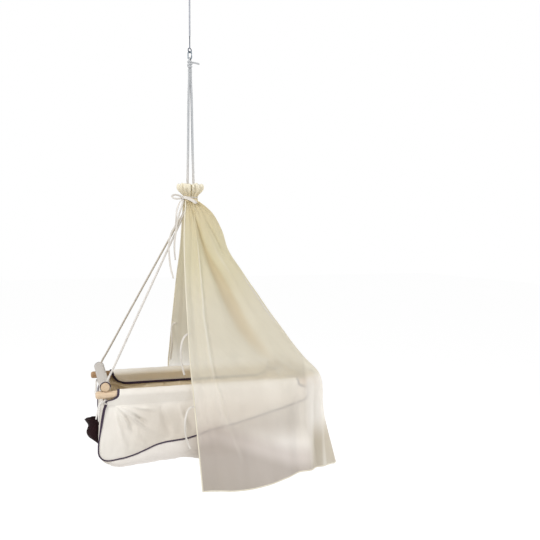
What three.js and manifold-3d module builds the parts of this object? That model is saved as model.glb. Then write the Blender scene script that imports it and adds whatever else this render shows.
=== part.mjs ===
// Hanging baby cradle: a fabric trough on two wooden rails and two crossbars, hung by four
// ropes from a carabiner, a cable and a ceiling fitting, with a gathered veil over the head end.
// Millimetres, +Z up. The origin is the middle of the ceiling plate's top face. +X is the head
// end and -Y the near side.

import * as THREE from 'three';
import { mergeVertices } from 'three/addons/utils/BufferGeometryUtils.js';
import Module from 'manifold-3d';

const wasm = await Module();
wasm.setup();

// Gaps, walls and facets shared by many pieces
const fit_gap = 0.3;
const overrun = 2;
const cloth_wall = 2;
const veil_wall = 1.2;
const rod_sides = 20;
const hole_sides = 12;
const ring_sides = 18;
const wire_sides = 8;
const cord_sides = 8;
const trim_sides = 5;

// Height of the ceiling over the rails, and how far the rails' middle lies head-side of the hook
const hang_drop = 1760;
const hang_offset = 42;

// Wooden frame
const rail_length = 920;
const rail_diameter = 30;
const rail_spacing = 412;
const crossbar_diameter = 35;
const crossbar_inset = 37;
const crossbar_overhang = 16;
const end_chamfer = 1.5;

// Ropes, their holes and their knots
const rope_diameter = 7.5;
const rope_hole_clearance = 0.75;
const rope_lean_start = 18;
const pair_spacing_neck = 22;
const knot_radius = 11;
const knot_height = 25;
const bundle_length = 133.3;
const bundle_lead_share = 0.4;
const rope_exit_rise = 2;
const top_knot_height = 36;
const top_knot_radius = 10.5;
const top_tail_length = 34;
const top_tail_aside = 4;
const top_tail_drop = 9;
const top_tail_height_share = 0.6;

// Ceiling plate and eye
const plate_radius = 35;
const plate_thickness = 6;
const plate_hole_radius = 2.75;
const plate_hole_circle = 25;
const plate_hole_count = 3;
const eye_shank_radius = 4;
const eye_shank_depth = 4;
const eye_collar_radius = 8;
const eye_collar_height = 3;
const ceiling_eye_radius = 10;
const ceiling_eye_wire = 3;
const eye_weld_depth = 1;

// Link between the ceiling eye and the cable's upper eye
const link_wire = 2.5;
const link_half_width = 8;
const link_length = 30;

// Cable with a ring at each end
const cable_diameter = 7;
const cable_length = 166;
const ring_radius = 9.5;
const ring_wire = 2;
const ring_shank_length = 65;
const ring_shank_seat = 15;

// Carabiner with its gate
const carabiner_wire = 2.25;
const carabiner_half_width = 8;
const carabiner_length = 33;
const gate_length = 15;
const gate_wire = 1.8;
const gate_tongue = 1.6;
const gate_tongue_width = 2.9;
const gate_tongue_relief = 0.5;
const gate_heel_gap = 0.7;
const clip_clearance = 0.45;
const gate_pin_radius = 0.7;
const cheek_wall = 1;
const lower_ring_turn = THREE.MathUtils.degToRad(35);
const carabiner_turn = THREE.MathUtils.degToRad(-30);

// Fabric body
const sleeve_drop = 45;
const body_depth = 320;
const body_squareness = 5;
const sleeve_outer_inset = 52;
const sleeve_top_inset = 90;
const sleeve_inner_inset = 135;
const neck_clearance = 3;
const piping_radius = 2.5;
const binding_radius = 2.4;
const bar_binding_radius = 1.2;
const binding_start_share = 0.6;
const bar_sleeve_margin = 4;
const sleeve_ease = 1.9;
const bar_sleeve_sweep = THREE.MathUtils.degToRad(35);
const far_bulge_share = 0.25;
const mattress_height = 60;
const mattress_crown = 8;
const mattress_edge = 14;
const mattress_steps = 6;
const mattress_side_count = 2;
const mattress_head_share = 0.5;
const mattress_head_width_share = 0.97;
const mattress_head_lift = 3;
const sleeve_edge_rise = 2;
const neck_low_share = 0.75;

// Brown pouch on the foot end
const pouch_reach = 56;
const pouch_height = 104;
const pouch_width = 70;
const pouch_bevel = 9;
const pouch_drop = 150;

// Veil
const neck_height = 772;
const neck_radius = 33;
const veil_ease = 7;
const veil_corner_ease = 4;
const veil_drop = 425;
const veil_side_flare = 26;
const veil_head_reach = 32;
const veil_head_flare = 126;
const veil_edge_offset = -82;
const veil_middle_share = 0.28;
const veil_hem_middle_share = 0.322;
const corner_lift = 50;
const fold_depth = 13;
const fold_growth_share = 0.625;
const fold_growth_power = 1.2;
const folds_per_panel = 3;
const gather_height = 74;
const gather_waist_height = 16;
const gather_waist_radius = 28;
const gather_top_radius = 56;
const gather_plug_height = 28;
const pleat_count = 11;
const pleat_depth = 3.5;

// Drawstring and ties
const drawstring_diameter = 5;
const bow_knot_radius = 6.5;
const tie_width = 8;
const tie_thickness = 1.4;

// Colours, roughness and metalness
const materials = {
  wood: new THREE.MeshStandardMaterial({ color: 0xe0c39a, roughness: 0.6 }),
  canvas: new THREE.MeshStandardMaterial({ color: 0xe8e0d4, roughness: 0.9 }),
  piping: new THREE.MeshStandardMaterial({ color: 0x4a424e, roughness: 0.85 }),
  rope: new THREE.MeshStandardMaterial({ color: 0xe6e2dc, roughness: 0.9 }),
  veil: new THREE.MeshStandardMaterial({ color: 0xdcd4b8, roughness: 0.95 }),
  tie: new THREE.MeshStandardMaterial({ color: 0xf0ece4, roughness: 0.9 }),
  pouch: new THREE.MeshStandardMaterial({ color: 0x2c181a, roughness: 0.95 }),
  steel: new THREE.MeshStandardMaterial({ color: 0x8a949c, roughness: 0.35, metalness: 1 }),
  cable: new THREE.MeshStandardMaterial({ color: 0xa0a2a8, roughness: 0.5, metalness: 0.3 }),
  mattress: new THREE.MeshStandardMaterial({ color: 0xece4d6, roughness: 0.95 }),
};

const rail_radius = rail_diameter / 2;
const bar_radius = crossbar_diameter / 2;
const rope_radius = rope_diameter / 2;
const half_rail = rail_length / 2;
const half_spacing = rail_spacing / 2;
const bar_x = half_rail - crossbar_inset;
const bar_z = rail_radius + fit_gap + bar_radius;
const bar_length = rail_spacing + 2 * crossbar_overhang;
const wrap_radius = bar_radius + sleeve_ease + cloth_wall;
const sides = { near: -1, far: 1 };
const ends = { foot: -1, head: 1 };

const hanger = new THREE.Group();
const cradle = new THREE.Group();
cradle.position.set(hang_offset, 0, -hang_drop);
const part = new THREE.Group();
part.add(hanger, cradle);

function add(group, name, geometry, material) {
  const mesh = new THREE.Mesh(geometry, materials[material]);
  mesh.name = name;
  group.add(mesh);
  return mesh;
}

const at = (x, y, z) => new THREE.Vector3(x, y, z);
const mix = THREE.MathUtils.lerp;

// Solids for boolean cuts and joins
function solid(geometry) {
  const plain = geometry.clone();
  plain.deleteAttribute('normal');
  plain.deleteAttribute('uv');
  const merged = mergeVertices(plain, 1e-4);
  const triVerts = new Uint32Array(merged.index.array);
  const vertProperties = new Float32Array(merged.attributes.position.array);
  return new wasm.Manifold(new wasm.Mesh({ numProp: 3, vertProperties, triVerts }));
}

function surface(manifold) {
  const mesh = manifold.getMesh();
  const geometry = new THREE.BufferGeometry();
  geometry.setAttribute('position', new THREE.BufferAttribute(mesh.vertProperties, 3));
  geometry.setIndex(new THREE.BufferAttribute(mesh.triVerts, 1));
  return geometry;
}

const join = (...shapes) => shapes.map(solid).reduce((whole, next) => whole.add(next));
const cut = (body, ...tools) => tools.map(solid).reduce((whole, tool) => whole.subtract(tool), body);

// Turns a mesh's faces outward, whichever way its grid ran
function outward(geometry) {
  const position = geometry.attributes.position;
  const index = geometry.index.array;
  let volume = 0;
  for (let i = 0; i < index.length; i += 3) {
    const [a, b, c] = [0, 1, 2].map((k) => at().fromBufferAttribute(position, index[i + k]));
    volume += a.dot(b.cross(c));
  }
  if (volume < 0) {
    for (let i = 0; i < index.length; i += 3) {
      [index[i], index[i + 1]] = [index[i + 1], index[i]];
    }
  }
  return geometry;
}

// A rod along Z, centred, with a small chamfer at both ends
function rod(radius, length, chamfer = end_chamfer) {
  const half = length / 2;
  const profile = [
    [0, -half], [radius - chamfer, -half], [radius, chamfer - half],
    [radius, half - chamfer], [radius - chamfer, half], [0, half],
  ].map(([x, y]) => new THREE.Vector2(x, y));
  return new THREE.LatheGeometry(profile, rod_sides).rotateX(Math.PI / 2);
}

function drill(radius, length, facets = hole_sides) {
  return new THREE.CylinderGeometry(radius, radius, length, facets).rotateX(Math.PI / 2);
}

// A body of revolution about Z from [radius, height] pairs
function turned(profile, segments = rod_sides) {
  const outline = profile.map(([x, y]) => new THREE.Vector2(x, y));
  return new THREE.LatheGeometry(outline, segments).rotateX(Math.PI / 2);
}

// A smooth path whose even steps follow its points, so that short bends get rings of their own
class PointPath extends THREE.CatmullRomCurve3 {
  getPointAt(share, target) {
    return this.getPoint(share, target);
  }

  getTangentAt(share, target) {
    return this.getTangent(share, target);
  }
}

// A tube with the given number of rings for each stretch between two points
function tube(points, radius, rings = 2, tube_sides = cord_sides) {
  const section = new THREE.Shape();
  for (let i = 0; i < tube_sides; i += 1) {
    const angle = (2 * Math.PI * i) / tube_sides;
    section[i ? 'lineTo' : 'moveTo'](radius * Math.cos(angle), radius * Math.sin(angle));
  }
  const extrudePath = new PointPath(points, false, 'centripetal');
  const steps = rings * (points.length - 1);
  return new THREE.ExtrudeGeometry(section, { steps, bevelEnabled: false, extrudePath });
}

// A closed link: two straight sides and two half-round ends, in the XZ plane
function oval(half_width, length, wire) {
  const straight = length - 2 * half_width;
  const points = [];
  const end_steps = 6;
  for (const [middle, start] of [[straight / 2, 0], [-straight / 2, Math.PI]]) {
    for (let i = 0; i <= end_steps; i += 1) {
      const angle = start + (Math.PI * i) / end_steps;
      points.push(at(half_width * Math.cos(angle), 0, middle + half_width * Math.sin(angle)));
    }
  }
  const path = new THREE.CatmullRomCurve3(points, true, 'centripetal');
  return new THREE.TubeGeometry(path, 28, wire, wire_sides, true);
}

// The inner face of a sheet: a grid's points moved by the wall to the side that inward names
function thickened(grid, wall, inward) {
  const rows = grid.length;
  const columns = grid[0].length;
  return grid.map((row, j) => row.map((point, i) => {
    const across = at().subVectors(row[Math.min(i + 1, columns - 1)], row[Math.max(i - 1, 0)]);
    const along = at().subVectors(grid[Math.min(j + 1, rows - 1)][i], grid[Math.max(j - 1, 0)][i]);
    const normal = across.cross(along).normalize();
    if (normal.dot(inward(point)) < 0) normal.negate();
    return point.clone().addScaledVector(normal, wall);
  }));
}
const sheet = (grid, wall, inward) => shell(grid, thickened(grid, wall, inward));

// The closed body between two grids of the same size
function shell(outer, inner) {
  const rows = outer.length;
  const columns = outer[0].length;
  const position = [...outer.flat(), ...inner.flat()].flatMap((point) => point.toArray());
  const id = (layer, j, i) => (layer * rows + j) * columns + i;
  const index = [];
  const quad = (a, b, c, d) => index.push(a, b, c, a, c, d);
  for (let j = 0; j < rows - 1; j += 1) {
    for (let i = 0; i < columns - 1; i += 1) {
      quad(id(0, j, i), id(0, j, i + 1), id(0, j + 1, i + 1), id(0, j + 1, i));
      quad(id(1, j, i), id(1, j + 1, i), id(1, j + 1, i + 1), id(1, j, i + 1));
    }
    const last = columns - 1;
    quad(id(0, j, 0), id(0, j + 1, 0), id(1, j + 1, 0), id(1, j, 0));
    quad(id(0, j + 1, last), id(0, j, last), id(1, j, last), id(1, j + 1, last));
  }
  for (let i = 0; i < columns - 1; i += 1) {
    const last = rows - 1;
    quad(id(0, 0, i + 1), id(0, 0, i), id(1, 0, i), id(1, 0, i + 1));
    quad(id(0, last, i), id(0, last, i + 1), id(1, last, i + 1), id(1, last, i));
  }
  const geometry = new THREE.BufferGeometry();
  geometry.setAttribute('position', new THREE.Float32BufferAttribute(position, 3));
  geometry.setIndex(index);
  return outward(geometry);
}

function running_lengths(points) {
  const lengths = [0];
  for (let i = 1; i < points.length; i += 1) {
    lengths.push(lengths[i - 1] + points[i].distanceTo(points[i - 1]));
  }
  return lengths;
}

// Moves a polyline's two ends inward along itself, then spaces its points evenly
function trimmed(points, start, finish, count) {
  const lengths = running_lengths(points);
  const total = lengths[lengths.length - 1];
  const result = [];
  let i = 1;
  for (let k = 0; k <= count; k += 1) {
    const goal = mix(start, total - finish, k / count);
    while (i < points.length - 1 && lengths[i] < goal) i += 1;
    const share = (goal - lengths[i - 1]) / (lengths[i] - lengths[i - 1]);
    result.push(points[i - 1].clone().lerp(points[i], share));
  }
  return result;
}

// Evenly spaced values from one value up to, but not with, another
function spread(from, to, count) {
  return Array.from({ length: count }, (_, i) => mix(from, to, i / count));
}

// Ceiling plate, eye and link
const eye_ring_z = -(plate_thickness + fit_gap + eye_collar_height
  + ceiling_eye_radius + ceiling_eye_wire - eye_weld_depth);
const eye_low_z = eye_ring_z - ceiling_eye_radius;
const link_top_z = eye_low_z + ceiling_eye_wire + fit_gap + link_wire;
const link_low_z = link_top_z - link_length;
const upper_ring_z = link_low_z + link_wire + fit_gap + ring_wire - ring_radius;
const cable_top_z = upper_ring_z - ring_radius - ring_shank_length + ring_shank_seat;
const cable_low_z = cable_top_z - cable_length;
const lower_ring_z = cable_low_z + ring_shank_seat - ring_shank_length - ring_radius;
const carabiner_top_z = lower_ring_z - ring_radius + ring_wire + clip_clearance + carabiner_wire;
const carabiner_low_z = carabiner_top_z - carabiner_length;

function ceiling_plate() {
  const disc = drill(plate_radius, plate_thickness, 2 * ring_sides)
    .translate(0, 0, -plate_thickness / 2);
  const holes = [];
  for (let i = 0; i < plate_hole_count; i += 1) {
    const angle = (2 * Math.PI * i) / plate_hole_count;
    holes.push(drill(plate_hole_radius, plate_thickness + 2 * overrun)
      .translate(plate_hole_circle * Math.cos(angle), plate_hole_circle * Math.sin(angle),
        -plate_thickness / 2));
  }
  const seat = drill(eye_shank_radius + fit_gap, eye_shank_depth + fit_gap + overrun)
    .translate(0, 0, -plate_thickness + (eye_shank_depth + fit_gap - overrun) / 2);
  return surface(cut(solid(disc), seat, ...holes));
}

function ceiling_eye() {
  const top = -plate_thickness + eye_shank_depth;
  const collar_top = -plate_thickness - fit_gap;
  const stem = turned([
    [0, eye_ring_z + ceiling_eye_radius], [eye_shank_radius, eye_ring_z + ceiling_eye_radius],
    [eye_shank_radius, collar_top - eye_collar_height],
    [eye_collar_radius, collar_top - eye_collar_height], [eye_collar_radius, collar_top],
    [eye_shank_radius, collar_top], [eye_shank_radius, top], [0, top],
  ]);
  const ring = new THREE.TorusGeometry(ceiling_eye_radius, ceiling_eye_wire, wire_sides, ring_sides)
    .rotateX(Math.PI / 2).translate(0, 0, eye_ring_z);
  return surface(join(stem, ring));
}

function ceiling_link() {
  return oval(link_half_width, link_length, link_wire).rotateZ(Math.PI / 2)
    .translate(0, 0, (link_top_z + link_low_z) / 2);
}

// A ring with a shank; way is 1 where the shank rises from the ring and -1 where it drops
function ring_with_shank(way) {
  const ring = new THREE.TorusGeometry(ring_radius, ring_wire, wire_sides, ring_sides)
    .rotateX(Math.PI / 2);
  const reach = ring_radius + ring_shank_length;
  const shank = drill(ring_wire, ring_shank_length)
    .translate(0, 0, (way * (ring_radius + reach)) / 2);
  return surface(join(ring, shank));
}

function cable() {
  const body = drill(cable_diameter / 2, cable_length, cord_sides * 2)
    .translate(0, 0, (cable_top_z + cable_low_z) / 2);
  const seats = [cable_top_z, cable_low_z].map((z) => drill(ring_wire + fit_gap,
    2 * (ring_shank_seat + fit_gap)).translate(0, 0, z));
  return surface(cut(solid(body), ...seats));
}

// Carabiner, in the XZ plane about its own middle; the gate closes the side at +X
const gate_low = -gate_length / 2;
const cheek_height = gate_wire * 2;

function carabiner() {
  const frame = oval(carabiner_half_width, carabiner_length, carabiner_wire);
  const slot = gate_length + 2 * fit_gap;
  const window_cut = new THREE.BoxGeometry(4 * carabiner_wire, 4 * carabiner_wire, slot)
    .translate(carabiner_half_width, 0, 0);
  let body = cut(solid(frame), window_cut);
  for (const way of [-1, 1]) {
    const cheek = new THREE.BoxGeometry(2 * gate_wire, cheek_wall, cheek_height + carabiner_wire)
      .translate(carabiner_half_width, way * (gate_tongue / 2 + fit_gap + cheek_wall / 2),
        gate_low + (cheek_height - carabiner_wire) / 2);
    body = body.add(solid(cheek));
  }
  const pin_hole = new THREE.CylinderGeometry(gate_pin_radius + fit_gap / 2,
    gate_pin_radius + fit_gap / 2, 6 * carabiner_wire, wire_sides)
    .translate(carabiner_half_width, 0, gate_low + cheek_height / 2);
  return surface(cut(body, pin_hole));
}

function carabiner_gate() {
  const bar_low = gate_low + cheek_height + gate_heel_gap;
  const bar = drill(gate_wire, gate_length / 2 - bar_low).translate(0, 0,
    (gate_length / 2 + bar_low) / 2);
  const tongue_height = cheek_height + gate_wire - gate_tongue_relief;
  const tongue = new THREE.BoxGeometry(gate_tongue_width, gate_tongue, tongue_height)
    .translate(0, 0, gate_low + gate_tongue_relief + tongue_height / 2);
  const hole = new THREE.CylinderGeometry(gate_pin_radius + fit_gap / 2,
    gate_pin_radius + fit_gap / 2, 2 * carabiner_wire, wire_sides)
    .translate(0, 0, gate_low + cheek_height / 2);
  return surface(cut(join(bar, tongue), hole)).translate(carabiner_half_width, 0, 0);
}

function gate_pin() {
  const length = gate_tongue + 2 * fit_gap + 2 * cheek_wall;
  return new THREE.CylinderGeometry(gate_pin_radius, gate_pin_radius, length, wire_sides)
    .translate(carabiner_half_width, 0, gate_low + cheek_height / 2);
}

add(hanger, 'ceiling_plate', ceiling_plate(), 'steel');
add(hanger, 'ceiling_eye', ceiling_eye(), 'steel');
add(hanger, 'ceiling_link', ceiling_link(), 'steel');
add(hanger, 'cable_upper_ring', ring_with_shank(-1), 'steel').position.z = upper_ring_z;
add(hanger, 'cable', cable(), 'cable');
const lower_ring = add(hanger, 'cable_lower_ring', ring_with_shank(1), 'steel');
lower_ring.position.z = lower_ring_z;
lower_ring.rotation.z = lower_ring_turn;
const clip = new THREE.Group();
clip.position.z = (carabiner_top_z + carabiner_low_z) / 2;
clip.rotation.z = carabiner_turn;
hanger.add(clip);
add(clip, 'carabiner', carabiner(), 'steel');
add(clip, 'carabiner_gate', carabiner_gate(), 'steel');
add(clip, 'gate_pin', gate_pin(), 'steel');

// Wooden frame, in the cradle's own frame: the origin is midway between the rails
for (const [side, way] of Object.entries(sides)) {
  const stick = rod(rail_radius, rail_length).rotateY(Math.PI / 2);
  const holes = [-bar_x, bar_x].map((x) => drill(rope_radius + rope_hole_clearance,
    rail_diameter + 2 * overrun).translate(x, 0, 0));
  const rail = surface(cut(solid(stick), ...holes)).translate(0, way * half_spacing, 0);
  add(cradle, `${side}_rail`, rail, 'wood');
}
for (const [end, way] of Object.entries(ends)) {
  const stick = rod(bar_radius, bar_length).rotateX(Math.PI / 2);
  const holes = [-half_spacing, half_spacing].map((y) => drill(rope_radius + rope_hole_clearance,
    crossbar_diameter + 2 * overrun).translate(0, y, 0));
  const bar = surface(cut(solid(stick), ...holes)).translate(way * bar_x, 0, bar_z);
  add(cradle, `${end}_crossbar`, bar, 'wood');
}

// Ropes: from under each rail, up through rail and crossbar, to the veil's neck and the top knot
const top_knot_z = hang_drop + carabiner_low_z - carabiner_wire - fit_gap - top_knot_height;
const strand_step = rope_radius + fit_gap / 2;
const neck_pair_x = pair_spacing_neck / 2;
const bundle_height = top_knot_z - bundle_length;
const bundle_lead_z = mix(neck_height + gather_height, bundle_height, 1 / 2);
const neck_low_z = neck_height - 2 * rope_diameter;
const bar_top_z = bar_z + wrap_radius;

for (const [end, end_way] of Object.entries(ends)) {
  for (const [side, way] of Object.entries(sides)) {
    const x = end_way * bar_x;
    const y = way * half_spacing;
    const foot_z = -rail_radius;
    const top = at(x, y, bar_top_z + rope_exit_rise);
    const neck = at(-hang_offset + end_way * neck_pair_x, way * strand_step, neck_low_z);
    const aside = (share) => top.clone().lerp(neck, share);
    const above = (z, spread) => at(-hang_offset + end_way * spread, way * strand_step, z);
    const bend = rope_lean_start / neck_height;
    const points = [
      at(x, y, foot_z), at(x, y, bar_z - bar_radius), at(x, y, bar_z + bar_radius), top,
      aside(bend).add(at(0, 0, rope_exit_rise)), aside(2 * bend), aside(1 / 3), aside(2 / 3),
      aside(1 - 2 * bend), aside(1 - bend / 2), above(neck_height - rope_radius, neck_pair_x),
      above(neck_height + rope_diameter, neck_pair_x),
      above(neck_height + gather_height, neck_pair_x),
      above(bundle_lead_z, mix(neck_pair_x, strand_step, bundle_lead_share)),
      above(bundle_height, strand_step + fit_gap), above(top_knot_z - fit_gap, strand_step),
    ];
    add(cradle, `${end}_${side}_rope`, tube(points, rope_radius), 'rope');
  }
}

// Knots under the rails, each with two short tails that start on the knot's widest rings. The
// routes are steps away from the rope's line: outward along the rail, outward across it, and up
const knot_rings = { upper: 0.32, lower: 0.68 };
const tail_ways = { upper: THREE.MathUtils.degToRad(39), lower: THREE.MathUtils.degToRad(-12) };
const tail_routes = {
  upper: [[6, 5, -1], [16, 7, -12], [22, 6, -38], [28, 5, -68]],
  lower: [[6, -1, -1], [11, 0, -17], [14, 2, -43], [15, 3, -71]],
};
const tail_radius = 3;
const knot_top = -rail_radius - fit_gap;
function knot_profile(radius, height, top) {
  const shares = [[0, 0], [0.5, 0], [0.92, 0.14], [1, 0.32], [0.86, 0.5], [1, 0.68],
    [0.84, 0.88], [0.45, 1], [0, 1]];
  return shares.map(([r, h]) => [radius * r, top - height * h]).reverse();
}
for (const [end, end_way] of Object.entries(ends)) {
  for (const [side, way] of Object.entries(sides)) {
    const knot = surface(solid(turned(knot_profile(knot_radius, knot_height, knot_top), 10)));
    knot.translate(end_way * bar_x, way * half_spacing, 0);
    add(cradle, `${end}_${side}_knot`, knot, 'rope');
    for (const [name, route] of Object.entries(tail_routes)) {
      const angle = tail_ways[name];
      const reach = knot_radius + fit_gap;
      const start = [bar_x + reach * Math.cos(angle), half_spacing + reach * Math.sin(angle),
        knot_top - knot_height * knot_rings[name]];
      const points = [[0, 0, 0], ...route].map(([x, y, z]) => at(end_way * (start[0] + x),
        way * (start[1] + y), start[2] + z));
      add(cradle, `${end}_${side}_${name}_tail`, tube(points, tail_radius, 2, trim_sides + 1), 'rope');
    }
  }
}

// Top knot, its loop through the carabiner and its cut tail
function top_knot() {
  const barrel = turned(knot_profile(top_knot_radius, top_knot_height,
    top_knot_z + top_knot_height), 12);
  const loop_radius = carabiner_wire + fit_gap + rope_radius;
  const bow_z = hang_drop + carabiner_low_z;
  const base_z = top_knot_z + top_knot_height - rope_diameter;
  const turn = carabiner_turn;
  const across = at(-Math.sin(turn), Math.cos(turn), 0);
  const place = (r, z) => across.clone().multiplyScalar(r).add(at(0, 0, z));
  const arc = [[-loop_radius, base_z], [-loop_radius, bow_z]];
  for (let i = 1; i < 6; i += 1) {
    const angle = Math.PI - (Math.PI * i) / 6;
    arc.push([loop_radius * Math.cos(angle), bow_z + loop_radius * Math.sin(angle)]);
  }
  arc.push([loop_radius, bow_z], [loop_radius, base_z]);
  const loop = tube(arc.map(([r, z]) => place(r, z)), rope_radius, 1);
  const tail_z = top_knot_z + top_knot_height * top_tail_height_share;
  const tail = tube([at(0, 0, tail_z),
    at(top_tail_length / 2, -top_tail_aside / 2, tail_z - top_tail_drop / 4),
    at(top_tail_length + top_knot_radius / 2, -top_tail_aside, tail_z - top_tail_drop)], rope_radius);
  return surface(join(barrel, loop, tail)).translate(-hang_offset, 0, 0);
}
add(cradle, 'top_knot', top_knot(), 'rope');

// Fabric body. The piping's outline in shares of half the rail length and of the body's depth
const piping_shares = [
  [-0.928, -0.165], [-0.945, -0.3], [-0.962, -0.45], [-0.98, -0.647], [-0.972, -0.766],
  [-0.922, -0.834], [-0.765, -0.797], [-0.413, -0.69], [-0.05, -0.57], [0.4, -0.43],
  [0.75, -0.3], [0.89, -0.235], [0.928, -0.165],
];
const keel_shares = [
  [-0.928, -0.165], [-0.938, -0.3], [-0.949, -0.45], [-0.959, -0.647], [-0.955, -0.77],
  [-0.938, -0.885], [-0.85, -0.985], [-0.45, -1], [0, -1], [0.44, -0.975],
  [0.8, -0.84], [0.955, -0.56], [0.94, -0.19],
];
const foot_seam_share = 5.4 / 12;
const head_seam_share = 10.4 / 12;
const foot_steps = 12;
const base_steps = 8;
const head_steps = 4;
const strip_columns = 10;
const seam_inset = piping_radius + 7 * fit_gap;

function wall_y(z) {
  const share = Math.min(1, Math.max(0, (-z - sleeve_drop) / (body_depth - sleeve_drop)));
  return half_spacing * (1 - share ** body_squareness) ** (1 / body_squareness);
}
function edge_curve(way) {
  const start = half_rail * piping_shares[0][0];
  return new THREE.CatmullRomCurve3(piping_shares.map(([x_share, z_share]) => {
    let x = half_rail * x_share;
    if (way > 0 && x < start) x = mix(start, x, far_bulge_share);
    const z = body_depth * z_share;
    return at(x, way * wall_y(z), z);
  }));
}
const edges = { near: edge_curve(-1), far: edge_curve(1) };
const keel = new THREE.CatmullRomCurve3(keel_shares
  .map(([x, z]) => at(half_rail * x, 0, body_depth * z)));

// Shares along the piping at which the cloth has its rows and the piping its rings
const stations = [
  ...spread(0, foot_seam_share, foot_steps),
  ...spread(foot_seam_share, head_seam_share, base_steps),
  ...spread(head_seam_share, 1, head_steps), 1,
];

// How far along a line it gets clear of the piping that runs through its start
function seam_start(points, tangent) {
  let length = 0;
  let away = 0;
  for (let i = 1; i < points.length; i += 1) {
    const step = points[i].distanceTo(points[i - 1]);
    const next = points[i].clone().sub(points[0]).projectOnPlane(tangent).length();
    if (next > seam_inset) return length + (step * (seam_inset - away)) / (next - away);
    length += step;
    away = next;
  }
  return length;
}

// One row of the long strip that makes the foot end, the base and the head end
function strip_row(share) {
  const near = edges.near.getPoint(share);
  const far = edges.far.getPoint(share);
  const middle = near.clone().add(far).multiplyScalar(1 / 2);
  const bulge = keel.getPoint(share).sub(middle).setY(0);
  const fine = 96;
  const points = [];
  for (let i = 0; i <= fine; i += 1) {
    const angle = (Math.PI * i) / fine;
    const across = Math.sign(Math.cos(angle)) * Math.abs(Math.cos(angle)) ** (2 / body_squareness);
    const down = Math.sin(angle) ** (2 / body_squareness);
    points.push(near.clone().lerp(far, (1 - across) / 2).addScaledVector(bulge, down));
  }
  const start = seam_start(points, edges.near.getTangent(share));
  const finish = seam_start([...points].reverse(), edges.far.getTangent(share));
  return trimmed(points, start, finish, strip_columns);
}

// The sleeve over a crossbar and the narrow neck between the rails, down to the strip
const wrap_steps = 8;
function sleeve_rows(way, top) {
  const sleeve_half = bar_length / 2 - bar_sleeve_margin;
  const neck_half = half_spacing - rail_radius - neck_clearance;
  const line = (x, z, half) => {
    const row = [];
    for (let i = 0; i <= strip_columns; i += 1) {
      row.push(at(way * x, mix(-half, half, i / strip_columns), z));
    }
    return row;
  };
  const rows = [];
  for (let j = 0; j <= wrap_steps; j += 1) {
    const angle = mix(-bar_sleeve_sweep, Math.PI + bar_sleeve_sweep, j / wrap_steps);
    rows.push(line(bar_x - wrap_radius * Math.cos(angle), bar_z + wrap_radius * Math.sin(angle),
      sleeve_half));
  }
  const low_x = bar_x + wrap_radius * Math.cos(bar_sleeve_sweep) - cloth_wall;
  const low_z = bar_z - wrap_radius * Math.sin(bar_sleeve_sweep) - cloth_wall;
  rows.push(line(low_x, low_z, neck_half));
  rows.push(line(mix(low_x, Math.abs(top[0].x), neck_low_share),
    mix(low_z, top[0].z, neck_low_share), neck_half));
  return rows;
}

const body_middle = at(0, 0, -body_depth / 3);
function strip_inward(point) {
  const bar = at(Math.sign(point.x) * bar_x, point.y, bar_z);
  const at_sleeve = point.z > bar_z - wrap_radius;
  return (at_sleeve ? bar : body_middle).clone().sub(point);
}
const strip_part = stations.map(strip_row);
const foot_sleeve = sleeve_rows(-1, strip_part[0]);
const head_sleeve = sleeve_rows(1, strip_part[strip_part.length - 1]).reverse();
const strip = [...foot_sleeve, ...strip_part, ...head_sleeve];
const strip_inner = thickened(strip, cloth_wall, strip_inward);

// A panel of the strip between two of its rows, each end drawn back by half the seam's gap
function drawn_back(grid) {
  const pull = (edge, next) => edge.map((point, i) => next[i].clone().sub(point)
    .setLength(fit_gap).add(point));
  const last = grid.length - 1;
  return [pull(grid[0], grid[1]), ...grid.slice(1, last), pull(grid[last], grid[last - 1])];
}
function strip_panel(from, to) {
  const [outer, inner] = [strip, strip_inner].map((grid) => drawn_back(grid.slice(from, to + 1)));
  return shell(outer, inner);
}
function end_panel(way, from, to) {
  const holes = [-half_spacing, half_spacing].map((y) => drill(rope_radius + rope_hole_clearance,
    2 * bar_radius).translate(way * bar_x, y, bar_z + bar_radius));
  return surface(cut(solid(strip_panel(from, to)), ...holes));
}
const base_first = foot_sleeve.length + foot_steps;
const base_last = base_first + base_steps;
add(cradle, 'foot_end_panel', end_panel(-1, 0, base_first), 'canvas');
add(cradle, 'head_end_panel', end_panel(1, base_last, strip.length - 1), 'canvas');
add(cradle, 'base_panel', strip_panel(base_first, base_last), 'canvas');

// Side panel: the wall from the piping up, then the sleeve round the rail to its free inner edge
const sleeve_arc_radius = rail_radius + sleeve_ease + cloth_wall;
const sleeve_steps = 8;
const wall_steps = 3;
function sleeve_section() {
  const gap = cloth_wall + fit_gap / 2;
  const reach = Math.hypot(gap, sleeve_drop);
  const tangent = Math.acos(sleeve_arc_radius / reach) - Math.atan2(gap, sleeve_drop);
  const points = [[gap, -sleeve_drop]];
  for (let i = 0; i <= sleeve_steps; i += 1) {
    const angle = mix(-Math.PI / 2 + tangent, (3 * Math.PI) / 2 - tangent, i / sleeve_steps);
    points.push([sleeve_arc_radius * Math.cos(angle), sleeve_arc_radius * Math.sin(angle)]);
  }
  points.push([-gap, sleeve_edge_rise - sleeve_drop]);
  return points;
}
const sleeve_insets = [sleeve_outer_inset, sleeve_top_inset, sleeve_inner_inset];
function sleeve_end(share) {
  const [outer, top, inner] = sleeve_insets;
  return half_rail - (share < 1 / 2 ? mix(outer, top, 2 * share) : mix(top, inner, 2 * share - 1));
}
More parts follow.
